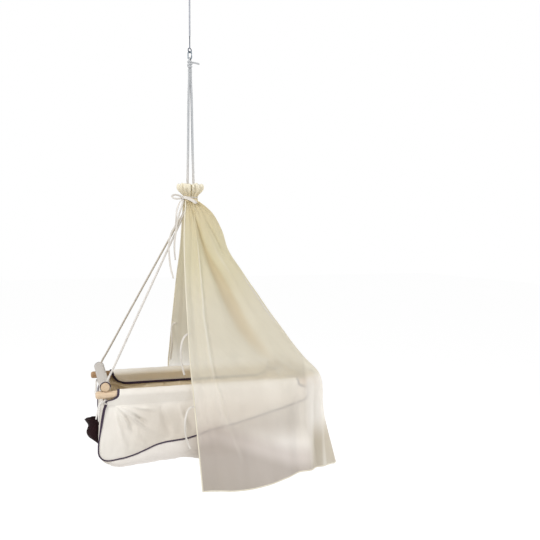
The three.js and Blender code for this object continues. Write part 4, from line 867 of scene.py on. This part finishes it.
class Edge:
    """A piping line with the wave that its lower stretch has."""

    def __init__(self, way):
        start = HALF_RAIL * piping_shares[0][0]
        points = []
        for x_share, z_share in piping_shares:
            x, z = HALF_RAIL * x_share, BODY_DEPTH * z_share
            if way > 0 and x < start:
                x = start + (x - start) * 0.25
            points.append([x, way * float(wall_y(z)), z])
        self.way, self.line = way, Path(points)

    def at(self, shares):
        points = self.line.at(shares)
        points[:, 2] += ramp(-points[:, 2], 150, 190) * np.interp(points[:, 0], wave_x, wave_z)
        points[:, 1] = self.way * wall_y(points[:, 2])
        return points


edges = {side: Edge(way) for side, way in SIDES.items()}
keel = Path([[HALF_RAIL * x, 0, BODY_DEPTH * z] for x, z in keel_shares])


def strip_row(share):
    """One section of the strip that goes under the child, from the near piping to the far one."""
    near, far = edges["near"].at(share)[0], edges["far"].at(share)[0]
    bulge = keel.at(share)[0] - (near + far) / 2
    bulge[1] = 0
    a = np.linspace(0, math.pi, 193)
    over = np.sign(np.cos(a)) * np.abs(np.cos(a)) ** (2 / STRIP_SQUARE)
    under = np.sin(a) ** (2 / STRIP_SQUARE)
    points = near + (far - near) * ((1 - over) / 2)[:, None] + bulge * under[:, None]
    points[:, 2] += np.interp(points[:, 0], lift_x, lift_z) * under**2
    return resample(points, STRIP_COLUMNS, SEAM_GAP)


def strip(first, last, count):
    return np.array([strip_row(share) for share in np.linspace(first, last, count)])


def held(low):
    """1 inside a strip, falling to 0 at its two seams."""
    return ramp(np.abs(np.linspace(-1, 1, STRIP_COLUMNS)), 1.0, low)[None, :]


# Half the length of the sleeves on the crossbars
SLEEVE_HALF = BAR_LENGTH / 2 - 4


def bar_sleeve(way, top):
    """Rows of the sleeve round a crossbar and down to the panel's top row."""
    half, neck_half = SLEEVE_HALF, HALF_SPACING - RAIL_R - 3
    past = math.radians(35)
    low_x, low_z = BAR_X + WRAP_R * math.cos(past) - CLOTH, BAR_Z - WRAP_R * math.sin(past) - CLOTH
    rows = [(BAR_X - WRAP_R * math.cos(a), BAR_Z + WRAP_R * math.sin(a), half)
            for a in np.linspace(-past, math.pi + past, 30)]
    rows += [(low_x + (abs(top[0]) - low_x) * s, low_z + (top[2] - low_z) * s, neck_half)
             for s in np.linspace(0, 0.75, 6)]
    spread = np.linspace(-1, 1, STRIP_COLUMNS)
    return np.array([xyz(way * x, spread * reach, z) for x, z, reach in rows])


def ridges(x, z, creases):
    """Soft creases: each from one place to another with a half width and a height."""
    total = np.zeros_like(x)
    for x0, z0, x1, z1, width, height in creases:
        dx, dz = x1 - x0, z1 - z0
        t = ((x - x0) * dx + (z - z0) * dz) / (dx * dx + dz * dz)
        on = np.clip(t, 0, 1)
        off = np.hypot(x - x0 - on * dx, z - z0 - on * dz)
        fade = np.clip(1.15 - np.abs(2 * t - 0.85), 0, 1)
        total += height * np.exp(-((off / (width * (0.5 + on))) ** 2)) * fade
    return total


foot_creases = [(-165, -60, -120, -260, 12, 2.4), (-60, -70, -40, -250, 14, -2.2),
                (60, -60, 40, -270, 12, 2.0), (150, -70, 120, -260, 12, -2.2),
                (-190, -110, -80, -180, 9, 1.6), (190, -100, 90, -190, 9, 1.6)]


def end_piece(name, way, body):
    """An end panel with its sleeve over the crossbar."""
    sleeve = bar_sleeve(way, (body[0] if way < 0 else body[-1])[0])
    crease = ridges(body[..., 1], body[..., 2], foot_creases) + ripple(body, 60.0, 5.1 + way) * 1.6
    body = body + np.array([way, 0, 0]) * (crease * held(0.86))[..., None]
    grid = np.vstack([sleeve, body]) if way < 0 else np.vstack([body, sleeve[::-1]])
    inward = np.asarray(TROUGH_MIDDLE) - grid
    round_bar = grid[..., 2] > BAR_Z - WRAP_R
    inward[round_bar] = ([way * BAR_X, 0, BAR_Z] - grid * [1, 0, 1])[round_bar]
    return cloth(name, place(grid), CLOTH_DRAWN, unit(inward))


# The end panels' canvas is greyer higher up, where it is wrapped round the crossbar
end_look = fabric("canvas_ends", rgb(236, 229, 220), rgb(214, 205, 192), 0.0011)
end_look.tint(end_look.step(end_look.here(2), -1.79, -1.75), rgb(206, 199, 191))
for end, way, part in (("foot", -1, strip(0, FOOT_SEAM, 49)), ("head", 1, strip(HEAD_SEAM, 1, 31))):
    dress(end_piece(f"{end}_end_cloth", way, part), end_look, canvas_inside_shaded, slot="canvas",
          nodes=[f"{end}_end_panel"])

base_grid = strip(FOOT_SEAM, HEAD_SEAM, 61)
sag = ripple(base_grid, 55.0, 9.2) * 4.0 + ripple(base_grid * [1, 0.5, 1], 17.0, 2.2) * 3.4
base_grid[..., 2] -= sag * held(0.9)
base_look = fabric("canvas_base", rgb(246, 240, 234), rgb(226, 219, 210), 0.0011)
# Painted shade: the base canvas darkens towards the head end, where the veil shades it
base_look.tint(base_look.step(base_look.here(0), -0.1, 0.03), rgb(194, 184, 172))
piece = cloth("base_cloth", place(base_grid), CLOTH_DRAWN, TROUGH_MIDDLE - base_grid)
dress(piece, base_look, canvas_inside_shaded, slot="canvas", nodes=["base_panel"])

# Side panels: the wall, the rail sleeve and its free inner edge
ARC_R = RAIL_R + EASE + CLOTH


def sleeve_section(steps):
    """The line round a rail, in y and z from its middle: up outside, over it and down inside."""
    gap = CLOTH + GAP / 2
    reach = math.hypot(gap, SLEEVE_DROP)
    tangent = math.acos(ARC_R / reach) - math.atan2(gap, SLEEVE_DROP)
    first, last = -math.pi / 2 + tangent, 1.5 * math.pi - tangent
    a = np.linspace(first, last, steps)
    arc = ARC_R * np.stack([np.cos(a), np.sin(a)], axis=1)
    low_outside, low_inside = np.array([gap, -SLEEVE_DROP]), np.array([-gap - 1, 2 - SLEEVE_DROP])
    outer = [low_outside * (1 - s) + arc[0] * s for s in np.linspace(0, 0.92, 11)]
    inner = [arc[-1] * (1 - s) + low_inside * s for s in np.linspace(0.12, 1, 8)]
    return np.vstack([outer, arc, inner])


SLEEVE_LINE = sleeve_section(30)
SLEEVE_SHARES = run_along(SLEEVE_LINE) / run_along(SLEEVE_LINE)[-1]
# How far the sleeve ends from the rail's end: by height on its outside, then by the share round the rail
outer_heights = [-45, -27, -24, -22.5, -20.5, -17.5, -13, -7, 0, 12]
outer_insets = [43, 43, 46, 54, 64, 73, 81, 87, 90, 91]
end_shares = [0.36, 0.5, 0.62, 0.75, 0.86, 0.94, 1]
end_insets = [91, 92, 96, 101, 110, 122, 146]


def sleeve_end(share):
    """How far from the rail's middle the sleeve reaches, at a share of its way round the rail."""
    if share < end_shares[0]:
        height = np.interp(share, SLEEVE_SHARES, SLEEVE_LINE[:, 1])
        return HALF_RAIL - float(np.interp(height, outer_heights, outer_insets))
    return HALF_RAIL - float(np.interp(share, end_shares, end_insets))


near_creases = [
    (-378, -50, -190, -190, 10, 7.5), (-372, -44, -250, -118, 7, 5.0), (-380, -62, -262, -232, 10, 6.0),
    (-384, -84, -340, -245, 9, 4.5), (-330, -70, -215, -172, 8, -5.0), (-345, -90, -290, -215, 8, -4.5),
    (-210, -66, -160, -200, 13, -5.0), (-130, -60, -95, -190, 10, 5.0), (-60, -56, -30, -180, 11, -5.0),
    (30, -62, 60, -160, 10, 4.5), (120, -60, 150, -140, 10, -4.0), (210, -60, 240, -120, 10, 3.5),
    (372, -50, 230, -120, 9, 6.0), (376, -56, 300, -110, 7, 4.5), (-320, -54, -215, -76, 5, 3.0),
]


def side_piece(side, way):
    """A side wall from the piping up to the stitches, and on round the rail as its sleeve."""
    low = edges[side].at(np.concatenate([np.linspace(0, FOOT_SEAM, 55), np.linspace(FOOT_SEAM, 1, 121)[1:]]))
    run = run_along(low)
    along = 2 * run / run[-1] - 1
    head = xyz(along * sleeve_end(0), 0, -SLEEVE_DROP)
    foot = low * [1, 0, 1]
    start = SEAM_GAP / np.maximum(np.linalg.norm(head - foot, axis=1), SEAM_GAP + 0.1)
    rise = np.linspace(0, 1, WALL_STEPS + 1)
    wall = foot + (head - foot) * (start + (1 - start) * rise[:, None])[..., None]
    wall[..., 1] = way * (wall_y(wall[..., 2]) + SLEEVE_LINE[0][0] * rise[:, None])
    crease = 2.5 * ridges(wall[..., 0], wall[..., 2], near_creases) + ripple(wall, 70.0, 1.3 * way) * 4.0
    crease += ripple(wall * [1, 1, 0.25], 18.0, 7.7) * 1.8
    hold = ramp(rise, 0.0, 0.16) * ramp(1 - rise, 0.0, 0.08)
    wall[..., 1] += way * np.clip(crease, -14.0, 16.0) * hold[:, None]
    sleeve = [xyz(along * sleeve_end(share), way * (HALF_SPACING + y), z)
              for share, (y, z) in zip(SLEEVE_SHARES[1:], SLEEVE_LINE[1:])]
    grid = np.vstack([wall, sleeve])
    rail = np.array([0, way * HALF_SPACING, 0])
    puff = ripple(grid * [1, 0.3, 0.3], 22.0, 4.4) * 0.9
    row = np.arange(len(grid))
    fade = ramp(row, WALL_STEPS + 2, WALL_STEPS + 10) * ramp(len(grid) - 1.0 - row, 0, 6)
    grid = grid + unit((grid - rail) * [0, 1, 1]) * (puff * fade[:, None])[..., None]
    inward = grid * [0, -1, 0]
    round_rail = grid[..., 2] > 1 - SLEEVE_DROP
    inward[round_rail] = (rail - grid * [0, 1, 1])[round_rail]
    return cloth(f"{side}_side_cloth", place(grid), CLOTH_DRAWN, unit(inward))


STITCH_HEIGHTS, STITCH_PITCH = (-44.0, -50.0), 4.2


def thread_mask(s):
    """Two rows of stitches, 44 and 50 mm under the rail's middle: their groove and their threads."""
    z = s.times(s.here(2), 1000.0, CEILING_Z)
    rows = []
    for height in STITCH_HEIGHTS:
        off = s.math("ABSOLUTE", s.math("SUBTRACT", z, height))
        rows.append(s.step(s.math("SUBTRACT", 1.0, off), 0.0, 0.7))
    groove = s.math("MAXIMUM", *rows)
    dash = s.step(s.band(s.times(s.here(0), 1000.0), STITCH_PITCH), 0.25, 0.55)
    return groove, s.times(groove, dash)


def stitched(name, warm):
    """The canvas with its tunnel stitching, and painted light and shade: lighter towards the foot and at the
    top, darker low towards the head, darker in the stitching's grooves, and a warm painted shade on the far
    side's flap inside the trough.
    """
    s = fabric(name, rgb(236, 229, 219), rgb(214, 205, 191), 0.0011)
    along, across, up = s.here(0), s.here(1), s.here(2)
    if warm:
        # Painted shade: the far flap is warmer inside the trough, standing for its shade and warm bounced
        # light
        inside = s.times(s.step(across, 0.204, 0.196), s.step(up, -1.748, -1.772))
        s.tint(s.times(inside, s.step(up, -1.875, -1.86)), rgb(232, 213, 178))
    # Painted light: lighter towards the foot and at the top, where the key lamp falls
    s.tint(s.times(s.step(along, -0.14, -0.42), 0.55), rgb(255, 252, 246))
    s.tint(s.times(s.step(up, -1.86, -1.81), 0.28), rgb(255, 251, 244))
    # Painted shade: darker low down towards the head end
    painted_lower_shade = s.times(s.step(along, -0.36, -0.1), s.step(up, -1.8, -1.86))
    s.tint(s.times(painted_lower_shade, 0.32), rgb(204, 194, 180))
    groove, dash = thread_mask(s)
    # Painted shade in the stitching's grooves
    s.tint(s.times(groove, 0.35), rgb(168, 156, 138))
    s.tint(s.times(dash, 0.6), rgb(250, 247, 240))
    return s


for side, way in SIDES.items():
    dress(side_piece(side, way), stitched(f"{side}_canvas_stitched", way > 0), canvas_inside_shaded, slot="canvas",
          nodes=[f"{side}_side_panel"])

# Piping on the side seams, thicker on its upper foot end
PIPING_R, PIPING_MORE = 2.9, 2.3
for side, way in SIDES.items():
    seam = edges[side].at(np.linspace(0, 1, 120))
    ends = [[end_way * (HALF_RAIL - 44), way * (HALF_SPACING + 2.5), -27] for end_way in (-1, 1)]
    path = smooth_path(np.vstack([ends[:1], seam[2:-2], ends[1:]]), 4.0)
    radius = PIPING_R + PIPING_MORE * ramp(path[:, 2], -175, -95) * (path[:, 0] < 0)
    rings = sweep(path, circle(14, 1.0)[None] * radius[:, None, None])
    piece = tube_piece(f"{side}_piping_cord", place(rings))
    dress(piece, binding, slot="piping", nodes=[f"{side}_piping"])

# Dark bindings on the rail sleeves' free edges and the crossbar sleeves' ends
BINDING_OUT, BINDING_HALF, BINDING_THICK = 3.9, 5.2, 2.3


def binding_path(way):
    """Round the sleeve's end at the head, along its free edge inside, and round the foot's end."""
    section = sleeve_section(14)
    shares = run_along(section) / run_along(section)[-1]
    rise = []
    for share, (y, z) in zip(shares[1:], section[1:]):
        reach = math.hypot(y, z)
        inner = (reach - CLOTH / 2) / reach
        rise.append([sleeve_end(share) + BINDING_OUT, way * (HALF_SPACING + y * inner), z * inner])
    rise = np.array(rise)
    outer_corner = rise[-1] + [0, -way * CLOTH / 2, -BINDING_OUT]
    inner_corner = rise[-1] + [-2 * BINDING_OUT, -way * CLOTH / 2, -BINDING_OUT]
    bound = [r for r in rise if r[2] > -28 or abs(r[1]) < HALF_SPACING]
    half = np.vstack([bound[:-1], (outer_corner + inner_corner) / 2 + [2, 0, 2], inner_corner - [8, 0, 0]])
    straight = [inner_corner * [share, 1, 1] for share in (0.6, 0, -0.6)]
    return smooth_path(np.vstack([half, straight, (half * [-1, 1, 1])[::-1]]), 3.0)


for side, way in SIDES.items():
    path = binding_path(way)
    off_rail = unit((path - [0, way * HALF_SPACING, 0]) * [0, 1, 1])
    flap = (ramp(-path[:, 2], 20, 34) * (np.abs(path[:, 1]) < HALF_SPACING))[:, None]
    off_rail = off_rail * (1 - flap) + flap * [0, -way, 0]
    wide = unit(np.cross(np.gradient(path, axis=0), off_rail))
    soft = np.pad(wide, ((6, 6), (0, 0)), mode="edge")
    wide = sum(soft[k:k + len(wide)] for k in range(13))
    rings = sweep(path, circle(18, BINDING_HALF, BINDING_THICK)[None], side=wide)
    piece = tube_piece(f"{side}_edge_binding", place(rings))
    dress(piece, binding if way < 0 else far_binding_shaded, slot="piping", nodes=[f"{side}_sleeve_binding"])

CUFF_R, CUFF_Y, CUFF_WIRE = BAR_R + EASE + CLOTH / 2, SLEEVE_HALF + 1.2 + GAP, 1.6
a = np.linspace(0, math.pi, 40)
for end, end_way, side, way in CORNERS:
    path = xyz(end_way * BAR_X + CUFF_R * np.cos(a), way * CUFF_Y, BAR_Z + CUFF_R * np.sin(a))
    piece = tube_piece(f"{end}_{side}_cuff", place(sweep(path, circle(12, CUFF_WIRE)[None])))
    dress(piece, binding, slot="piping", nodes=[f"{end}_{side}_bar_binding"])

# Mattress pad: the shares of the seam that it lies between, and the strip's columns free at each side
PAD_TOP, PAD_CROWN, PAD_THIN, PAD_LIFT = -262, 9, 14, 1.2
PAD_FOOT, PAD_HEAD, PAD_FREE = 0.478, 0.745, 12
under = strip(PAD_FOOT, PAD_HEAD, 41)
under = (under + facing(under, TROUGH_MIDDLE - under) * (CLOTH + PAD_LIFT))[:, PAD_FREE:-PAD_FREE]
rows, columns = under.shape[:2]
arch = np.sin(math.pi * np.linspace(0, 1, rows))[:, None] * np.sin(math.pi * np.linspace(0, 1, columns))
crown = PAD_CROWN * (np.clip(arch, 0, 1) ** 0.35 - 1) + ripple(under, 80.0, 6.1) * 1.5
top_grid = under.copy()
top_grid[..., 2] = np.maximum(PAD_TOP + crown, under[..., 2] + PAD_THIN)
pad = shell("mattress_pad", place(top_grid), place(under), False, two_looks=False)
dress(pad, mattress_look, slot="mattress", nodes=["mattress"], body="mattress")

# Brown pouch on the foot end: an ear-like tip over a folded, hanging bag
POUCH_HALF, POUCH_WALL = 35.0, 0.0016
pouch_outline = [(0.0, -168), (-14, -163), (-26, -156), (-40, -147), (-57, -143), (-51, -154),
                 (-43, -168), (-46, -183), (-51, -198), (-47, -213), (-29, -232), (0.0, -252)]


def pouch():
    out, _, height = Path([[x, 0, z] for x, z in pouch_outline]).at(np.linspace(0, 1, 81)).T
    grid = []
    for s in np.linspace(-1, 1, 25):
        puff = (1 - abs(s) ** 2.6) ** 0.5
        wave = 1 + 0.05 * np.sin(9 * s + height / 14)
        x = -0.95 * HALF_RAIL + out * (0.12 + 0.88 * puff) * wave
        y = s * POUCH_HALF + 3.0 * np.sin(height / 18 + 2 * s)
        grid.append(xyz(x, y, height - 3 * np.sin(3 * s)))
    grid = np.array(grid)
    grid = grid + normals(grid) * (ripple(grid, 11.0, 8.8) * 1.4)[..., None]
    return cloth("foot_pouch_cloth", place(grid), POUCH_WALL, np.broadcast_to([1.0, 0, 0], grid.shape))


dress(pouch(), pouch_look, pouch_look, slot="pouch", nodes=["foot_pouch"])

# Veil: one cloth hung from the neck, with doubled hems
HEM_HALF, HEM_THICK = 2.8, 0.9
veil_points = place(veil_grid)
veil = build("veil_cloth", veil_points.reshape(-1, 3), quads_of(numbered(veil_points)), arc_uv(veil_points))
fold_mark = veil.data.attributes.new("fold", "FLOAT", "POINT")
fold_mark.data.foreach_set("value", stand.ravel().astype(np.float32))
dress(veil, veil_look, slot="veil", nodes=["veil_near_panel", "veil_head_panel", "veil_far_panel"])
for name, line in (("near", veil_grid[:, 0]), ("far", veil_grid[:, -1]), ("low", veil_grid[-1])):
    path = resample(line, len(line))
    wide = np.broadcast_to([0, 0, 1.0] if name == "low" else [1.0, 0, 0], path.shape)
    rings = sweep(path, circle(10, HEM_HALF, HEM_THICK)[None], side=wide)
    hem = tube_piece(f"veil_{name}_hem", place(rings))
    dress(hem, hem_look, slot="veil")

# Gathered top: pleats below the drawstring, a waist and an open ruffle
PLEATS, RUFFLE_WALL = 17, 0.0009
# Radius, height over the neck, and depth of the pleats, in millimetres
ruffle_levels = [[31.5, -3, 1.6], [31, 3, 2.2], [29.5, 9, 2.0], [29, 14, 1.8], [28.5, 19, 2.6],
                 [33, 28, 5.5], [41, 37, 8.5], [48, 46, 11], [51.5, 55, 12], [51.5, 64, 11.5],
                 [49, 70.5, 10.5], [46, 73, 9.5], [43.5, 71.5, 9.0]]


def gather():
    a = whole_turn(PLEATS * 20)
    wobble = 0.5 * np.sin(5 * a + 1.2) + 0.4 * np.sin(3 * a) + 0.2 * np.sin(11 * a)
    ridge = 1 - 2 * np.abs((1 - np.cos(PLEATS * a + 2.4 * wobble)) / 2) ** 1.4
    ridge = ridge * (0.8 + 0.3 * np.sin(7 * a + 0.4) + 0.25 * np.sin(4 * a + 2.2))
    flutter = 1.8 * np.sin(5 * a + 0.9) + 1.2 * np.sin(9 * a)
    grid = []
    for radius, height, depth in Path(ruffle_levels).at(np.linspace(0, 1, 84)):
        r = radius + depth * 0.5 * ridge + 0.02 * radius * wobble
        rim = min(1.0, max(0.0, height / 70)) ** 2
        lift = height + rim * (0.14 * depth * ridge + flutter) + 0.5 * wobble
        grid.append(xyz(HOOK_X + r * np.cos(a), r * np.sin(a), NECK_Z + lift))
    grid = np.array(grid)
    grid = np.concatenate([grid, grid[:, :1]], axis=1)
    inward = ([HOOK_X, 0, 0] - grid) * [1, 1, 0]
    return cloth("veil_ruffle", place(grid), RUFFLE_WALL, inward)


ruffle = gather()
dress(ruffle, gather_look, gather_look, slot="veil", nodes=["veil_gather"])

# Drawstring ring, knot and bow
BAND_R = 30.2
a = whole_turn(160)
radial = xyz(np.cos(a), np.sin(a), 0)
band_path = [HOOK_X, 0, BOW[2]] + BAND_R * radial + xyz(0, 0, np.sin(2 * a))
band = rope_loop("band", band_path, radial, STRING_R, 18, sides=12, low=0.86, up=[0, 0, 1.0])
bow_knot = knot_piece("bow_knot", BOW + [0, -1, -1], 10.5, 14.0, 3.4, turn=0.7)
side_points = [(0, 0, 1), (-18, -2, 8), (-38, -4, 10), (-47, -5, 3), (-38, -6, -5), (-18, -4, -6),
               (0, 0, -1)]
front_points = [(0, 0, 0), (9, -15, 0), (26, -33, -8), (44, -41, -20), (51, -44, -26), (44, -46, -22),
                (26, -38, -10), (8, -18, -2), (0, -2, -1)]
side_loop, _ = tape_piece("side_loop", BOW + side_points, 0.3)
front_loop, _ = tape_piece("front_loop", BOW + front_points, 0.1, width=12.0)
bow = join("drawstring_bow", band, bow_knot, side_loop, front_loop)
dress(bow, string_look, slot="tie", nodes=["drawstring"])

# Hanger: plate, eye, link, cable with its rings, carabiner and gate. Millimetres of the row frame
EYE_Z, LINK_TOP, LINK_LOW, UPPER_RING = -21.3, -25.5, -55.5, -60.2
CABLE_TOP, CABLE_LOW, LOWER_RING = -119.7, -285.7, -345.2
CLIP_TOP, SCREW_CIRCLE = -350.0, 25
CLIP_MIDDLE, CLIP_HALF, CLIP_LENGTH = (CLIP_TOP + CARABINER_LOW) / 2, 8.0, 33
EYE_R, EYE_WIRE, EYELET_R, EYELET_WIRE, CABLE_R = 10, 3, 9.5, 2, 3.5
LINK_HALF, LINK_LENGTH, LINK_WIRE = 8, 30, 2.5
# Where a turned profile meets its axis
AXIS_R = 0.01


def oval_path(half_width, length, steps):
    a = np.linspace(0, math.pi, steps)
    bow = xyz(half_width * np.cos(a), 0, length / 2 - half_width + half_width * np.sin(a))
    return np.vstack([bow, bow * [-1, 1, -1], bow[:1]])


def wire_rings(path, wire, sides):
    return loop_sweep(path, circle(sides, wire)[None], [0, 1.0, 0])


def ring_piece(name, radius, wire, z, turn=0.0):
    """An upright wire ring, turned about the upright axis."""
    a = whole_turn(72)
    path = radius * xyz(np.cos(a), 0, np.sin(a))
    return tube_piece(name, metres(about_z(wire_rings(path, wire, 20), turn) + [0, 0, z]), closed=True)


disc = [[AXIS_R, 0], [34.2, 0], [35, -0.8], [35, -4.6], [34.4, -5.6], [33, -6], [4.6, -6], [4.4, -5.8],
        [4.4, -1.7], [AXIS_R, -1.7]]
plate = tube_piece("ceiling_disc", metres(lathe(disc, 96)), capped=False)
screw = [[2.75, 4], [2.75, -4.2], [4.6, -6.02], [4.6, -9]]
bore(plate, [turned("cutter", screw, 32, [SCREW_CIRCLE * math.cos(a), SCREW_CIRCLE * math.sin(a), 0], metres)
             for a in whole_turn(3)], smooth=False)
dress(plate, zinc, slot="steel", nodes=["ceiling_plate"], body="ceiling_mount")
stem = turned("stem", [[AXIS_R, -2.0], [3.9, -2.0], [4, -6.3], [8, -6.3], [8.2, -7], [8.2, -8.8], [7.6, -9.3],
                       [4.4, -9.4], [4.0, -10.2], [3.4, -11.3], [AXIS_R, -11.3]], 40, [0, 0, 0], metres)
eye = join("ceiling_eye_ring", ring_piece("eye", EYE_R, EYE_WIRE, EYE_Z), stem)
dress(eye, zinc, slot="steel", nodes=["ceiling_eye"], body="ceiling_mount")
link = resample(oval_path(LINK_HALF, LINK_LENGTH, 24), 96)[:-1]
link = about_z(wire_rings(link, LINK_WIRE, 18), math.pi / 2)
link = tube_piece("ceiling_chain_link", metres(link + [0, 0, (LINK_TOP + LINK_LOW) / 2]), closed=True)
dress(link, zinc, slot="steel", nodes=["ceiling_link"], body="link")


def shanked(name, z, way, turn, look, node):
    """A ring with the shank that holds an end of the cable."""
    profile = [[AXIS_R, 9.0], [2.6, 9.2], [2.5, 10.5], [2.0, 13], [2.0, 74.1], [AXIS_R, 74.5]]
    shank = tube_piece("shank", metres(lathe(profile, 28) * [1, 1, way] + [0, 0, z]))
    piece = join(name, ring_piece(name, EYELET_R, EYELET_WIRE, z, turn), shank)
    dress(piece, look, slot="steel", nodes=[node], body="cable")


shanked("upper_eye_ring", UPPER_RING, -1, 0.0, zinc, "cable_upper_ring")
shanked("lower_eye_ring", LOWER_RING, 1, math.radians(35), dark_steel, "cable_lower_ring")
cable = [[2.35, CABLE_TOP - 0.2], [3.1, CABLE_TOP], [CABLE_R, CABLE_TOP - 0.8],
         *([CABLE_R, z] for z in np.linspace(CABLE_TOP - 4, CABLE_LOW + 4, 40)),
         [CABLE_R, CABLE_LOW + 0.8], [3.1, CABLE_LOW], [2.35, CABLE_LOW + 0.2]]
cable = turned("hanging_cable", cable, 32, [0, 0, 0], metres)
dress(cable, cable_look, slot="cable", nodes=["cable"], body="cable")

# Carabiner, gate and pin
WINDOW = 7.8


def on_clip(rings):
    """Places rings given about the carabiner's middle, in its upright plane."""
    return metres(about_z(np.asarray(rings, float), CLIP_TURN) + [0, 0, CLIP_MIDDLE])


# The open part of the wire, without the gate's window on the +X side
fine = resample(oval_path(CLIP_HALF, CLIP_LENGTH, 32), 400)
order = np.where((fine[:, 0] <= 4) | (np.abs(fine[:, 2]) >= WINDOW))[0]
after_window = np.argmax(np.diff(order) > 1) + 1
open_path = resample(fine[np.roll(order, -after_window)], 90)
across = np.broadcast_to([0, 1.0, 0], open_path.shape)
frame_wire = tube_piece("clip_wire", on_clip(sweep(open_path, circle(18, CLIP_WIRE)[None], side=across)))
cheeks = []
for way in (-1, 1):
    round_end = circle(20, 1.9)
    upper_half = round_end[round_end[:, 1] >= -0.01] + [0, -4.6]
    lower_half = round_end[round_end[:, 1] < 0] * [1, 1.2] + [0, -7.4]
    x, z = np.vstack([upper_half, lower_half]).T
    y = way * (0.8 + GAP + 0.5) - 0.5
    faces = [xyz(CLIP_HALF + x, y + thick, z) for thick in (0, 1.0)]
    cheeks.append(tube_piece(f"cheek{way}", on_clip(faces)))
clip = join("carabiner_frame", frame_wire, *cheeks)
dress(clip, steel, slot="steel", nodes=["carabiner"], body="carabiner")
bar = lathe([[AXIS_R, -3.5], [1.5, -3.5], [1.8, -3.1], [1.8, 7.0], [1.5, 7.4], [AXIS_R, 7.45]], 28)
tongue = lathe([[AXIS_R, -0.8], [1.45, -0.8], [1.45, 0.8], [AXIS_R, 0.8]], 24, axis="y") * [1, 1, 1.15]
block = lathe([[AXIS_R, -5.6], [0.8, -5.6], [0.8, -3.2], [AXIS_R, -3.2]], 12) * [1.7, 1, 1]
gate_parts = [tube_piece(f"gate{k}", on_clip(rings + [CLIP_HALF, 0, 0]))
              for k, rings in enumerate((bar, tongue + [0, 0, -5.6], block))]
gate = join("carabiner_gate_bar", *gate_parts)
dress(gate, steel, slot="steel", nodes=["carabiner_gate"], body="gate")
pin = lathe([[AXIS_R, -2.1], [0.7, -2.1], [0.7, 2.1], [AXIS_R, 2.1]], 20, axis="y")
pin = tube_piece("gate_hinge_pin", on_clip(pin + [CLIP_HALF, 0, -5.7]))
dress(pin, zinc, slot="steel", nodes=["gate_pin"], body="carabiner")

# Floor, world and lights
FLOOR_Z, WHITE = -2.62, (1, 1, 1, 1)
FLOOR_LIGHT, FLOOR_SHADE, WORLD_LIGHT = 0.9, 0.2, 0.44


def seen_directly(tree):
    """1 for rays from the camera, from mirrors and through glass."""
    ray = tree.nodes.new("ShaderNodeLightPath")
    total = ray.outputs["Is Camera Ray"]
    for name in ("Is Glossy Ray", "Is Transmission Ray"):
        higher = tree.nodes.new("ShaderNodeMath")
        higher.operation = "MAXIMUM"
        tree.links.new(total, higher.inputs[0])
        tree.links.new(ray.outputs[name], higher.inputs[1])
        total = higher.outputs[0]
    return total


floor_mesh = bpy.data.meshes.new("floor")
floor_corners = [(x, y, FLOOR_Z) for x, y in ((-14, -10), (14, -10), (14, 22), (-14, 22))]
floor_mesh.from_pydata(floor_corners, [], [(0, 1, 2, 3)])
floor = bpy.data.objects.new("floor", floor_mesh)
scene.collection.objects.link(floor)
floor_look = Shader("floor", 0.9, specular=0.0)
floor_look.colour(WHITE)
lit = floor_look.main.outputs[0]
dark = floor_look.node("Emission", Strength=0.0)
shadow = floor_look.node("MixShader", Fac=FLOOR_SHADE, i1=dark, i2=lit)
glow = floor_look.node("Emission", Color=WHITE, Strength=FLOOR_LIGHT)
paper = floor_look.node("AddShader", i0=shadow, i1=glow)
floor_mix = floor_look.node("MixShader", Fac=seen_directly(floor_look.tree), i1=lit, i2=paper)
floor_look.tree.links.new(floor_mix, floor_look.tree.nodes["Material Output"].inputs[0])
floor.data.materials.append(floor_look.material)

world = bpy.data.worlds.new("world")
scene.world = world
world.use_nodes = True
nodes, links = world.node_tree.nodes, world.node_tree.links
background, seen = nodes["Background"], nodes.new("ShaderNodeBackground")
for node, strength in ((background, WORLD_LIGHT), (seen, 1.0)):
    node.inputs["Color"].default_value = WHITE
    node.inputs["Strength"].default_value = strength
both = nodes.new("ShaderNodeMixShader")
links.new(seen_directly(world.node_tree), both.inputs[0])
links.new(background.outputs[0], both.inputs[1])
links.new(seen.outputs[0], both.inputs[2])
links.new(both.outputs[0], nodes["World Output"].inputs[0])


def area_light(name, spot, target, size, power):
    lamp = bpy.data.lights.new(name, "AREA")
    lamp.shape, lamp.size, lamp.energy = "DISK", size, power
    holder = bpy.data.objects.new(name, lamp)
    holder.location = spot
    holder.rotation_euler = (Vector(target) - Vector(spot)).to_track_quat("-Z", "Y").to_euler()
    scene.collection.objects.link(holder)


area_light("key", (-3.2, -2.0, 1.1), (0, 0, -1.6), 1.3, 114)
area_light("fill", (2.4, -2.9, 0.8), (0.1, 0, -1.7), 1.8, 50)
area_light("side", (3.4, 0.5, -0.5), (0.2, 0, -1.7), 1.6, 46)
scene.view_settings.view_transform = "Standard"
scene.view_settings.look = "None"
scene.view_settings.exposure = 0.0
scene.view_settings.gamma = 1.0
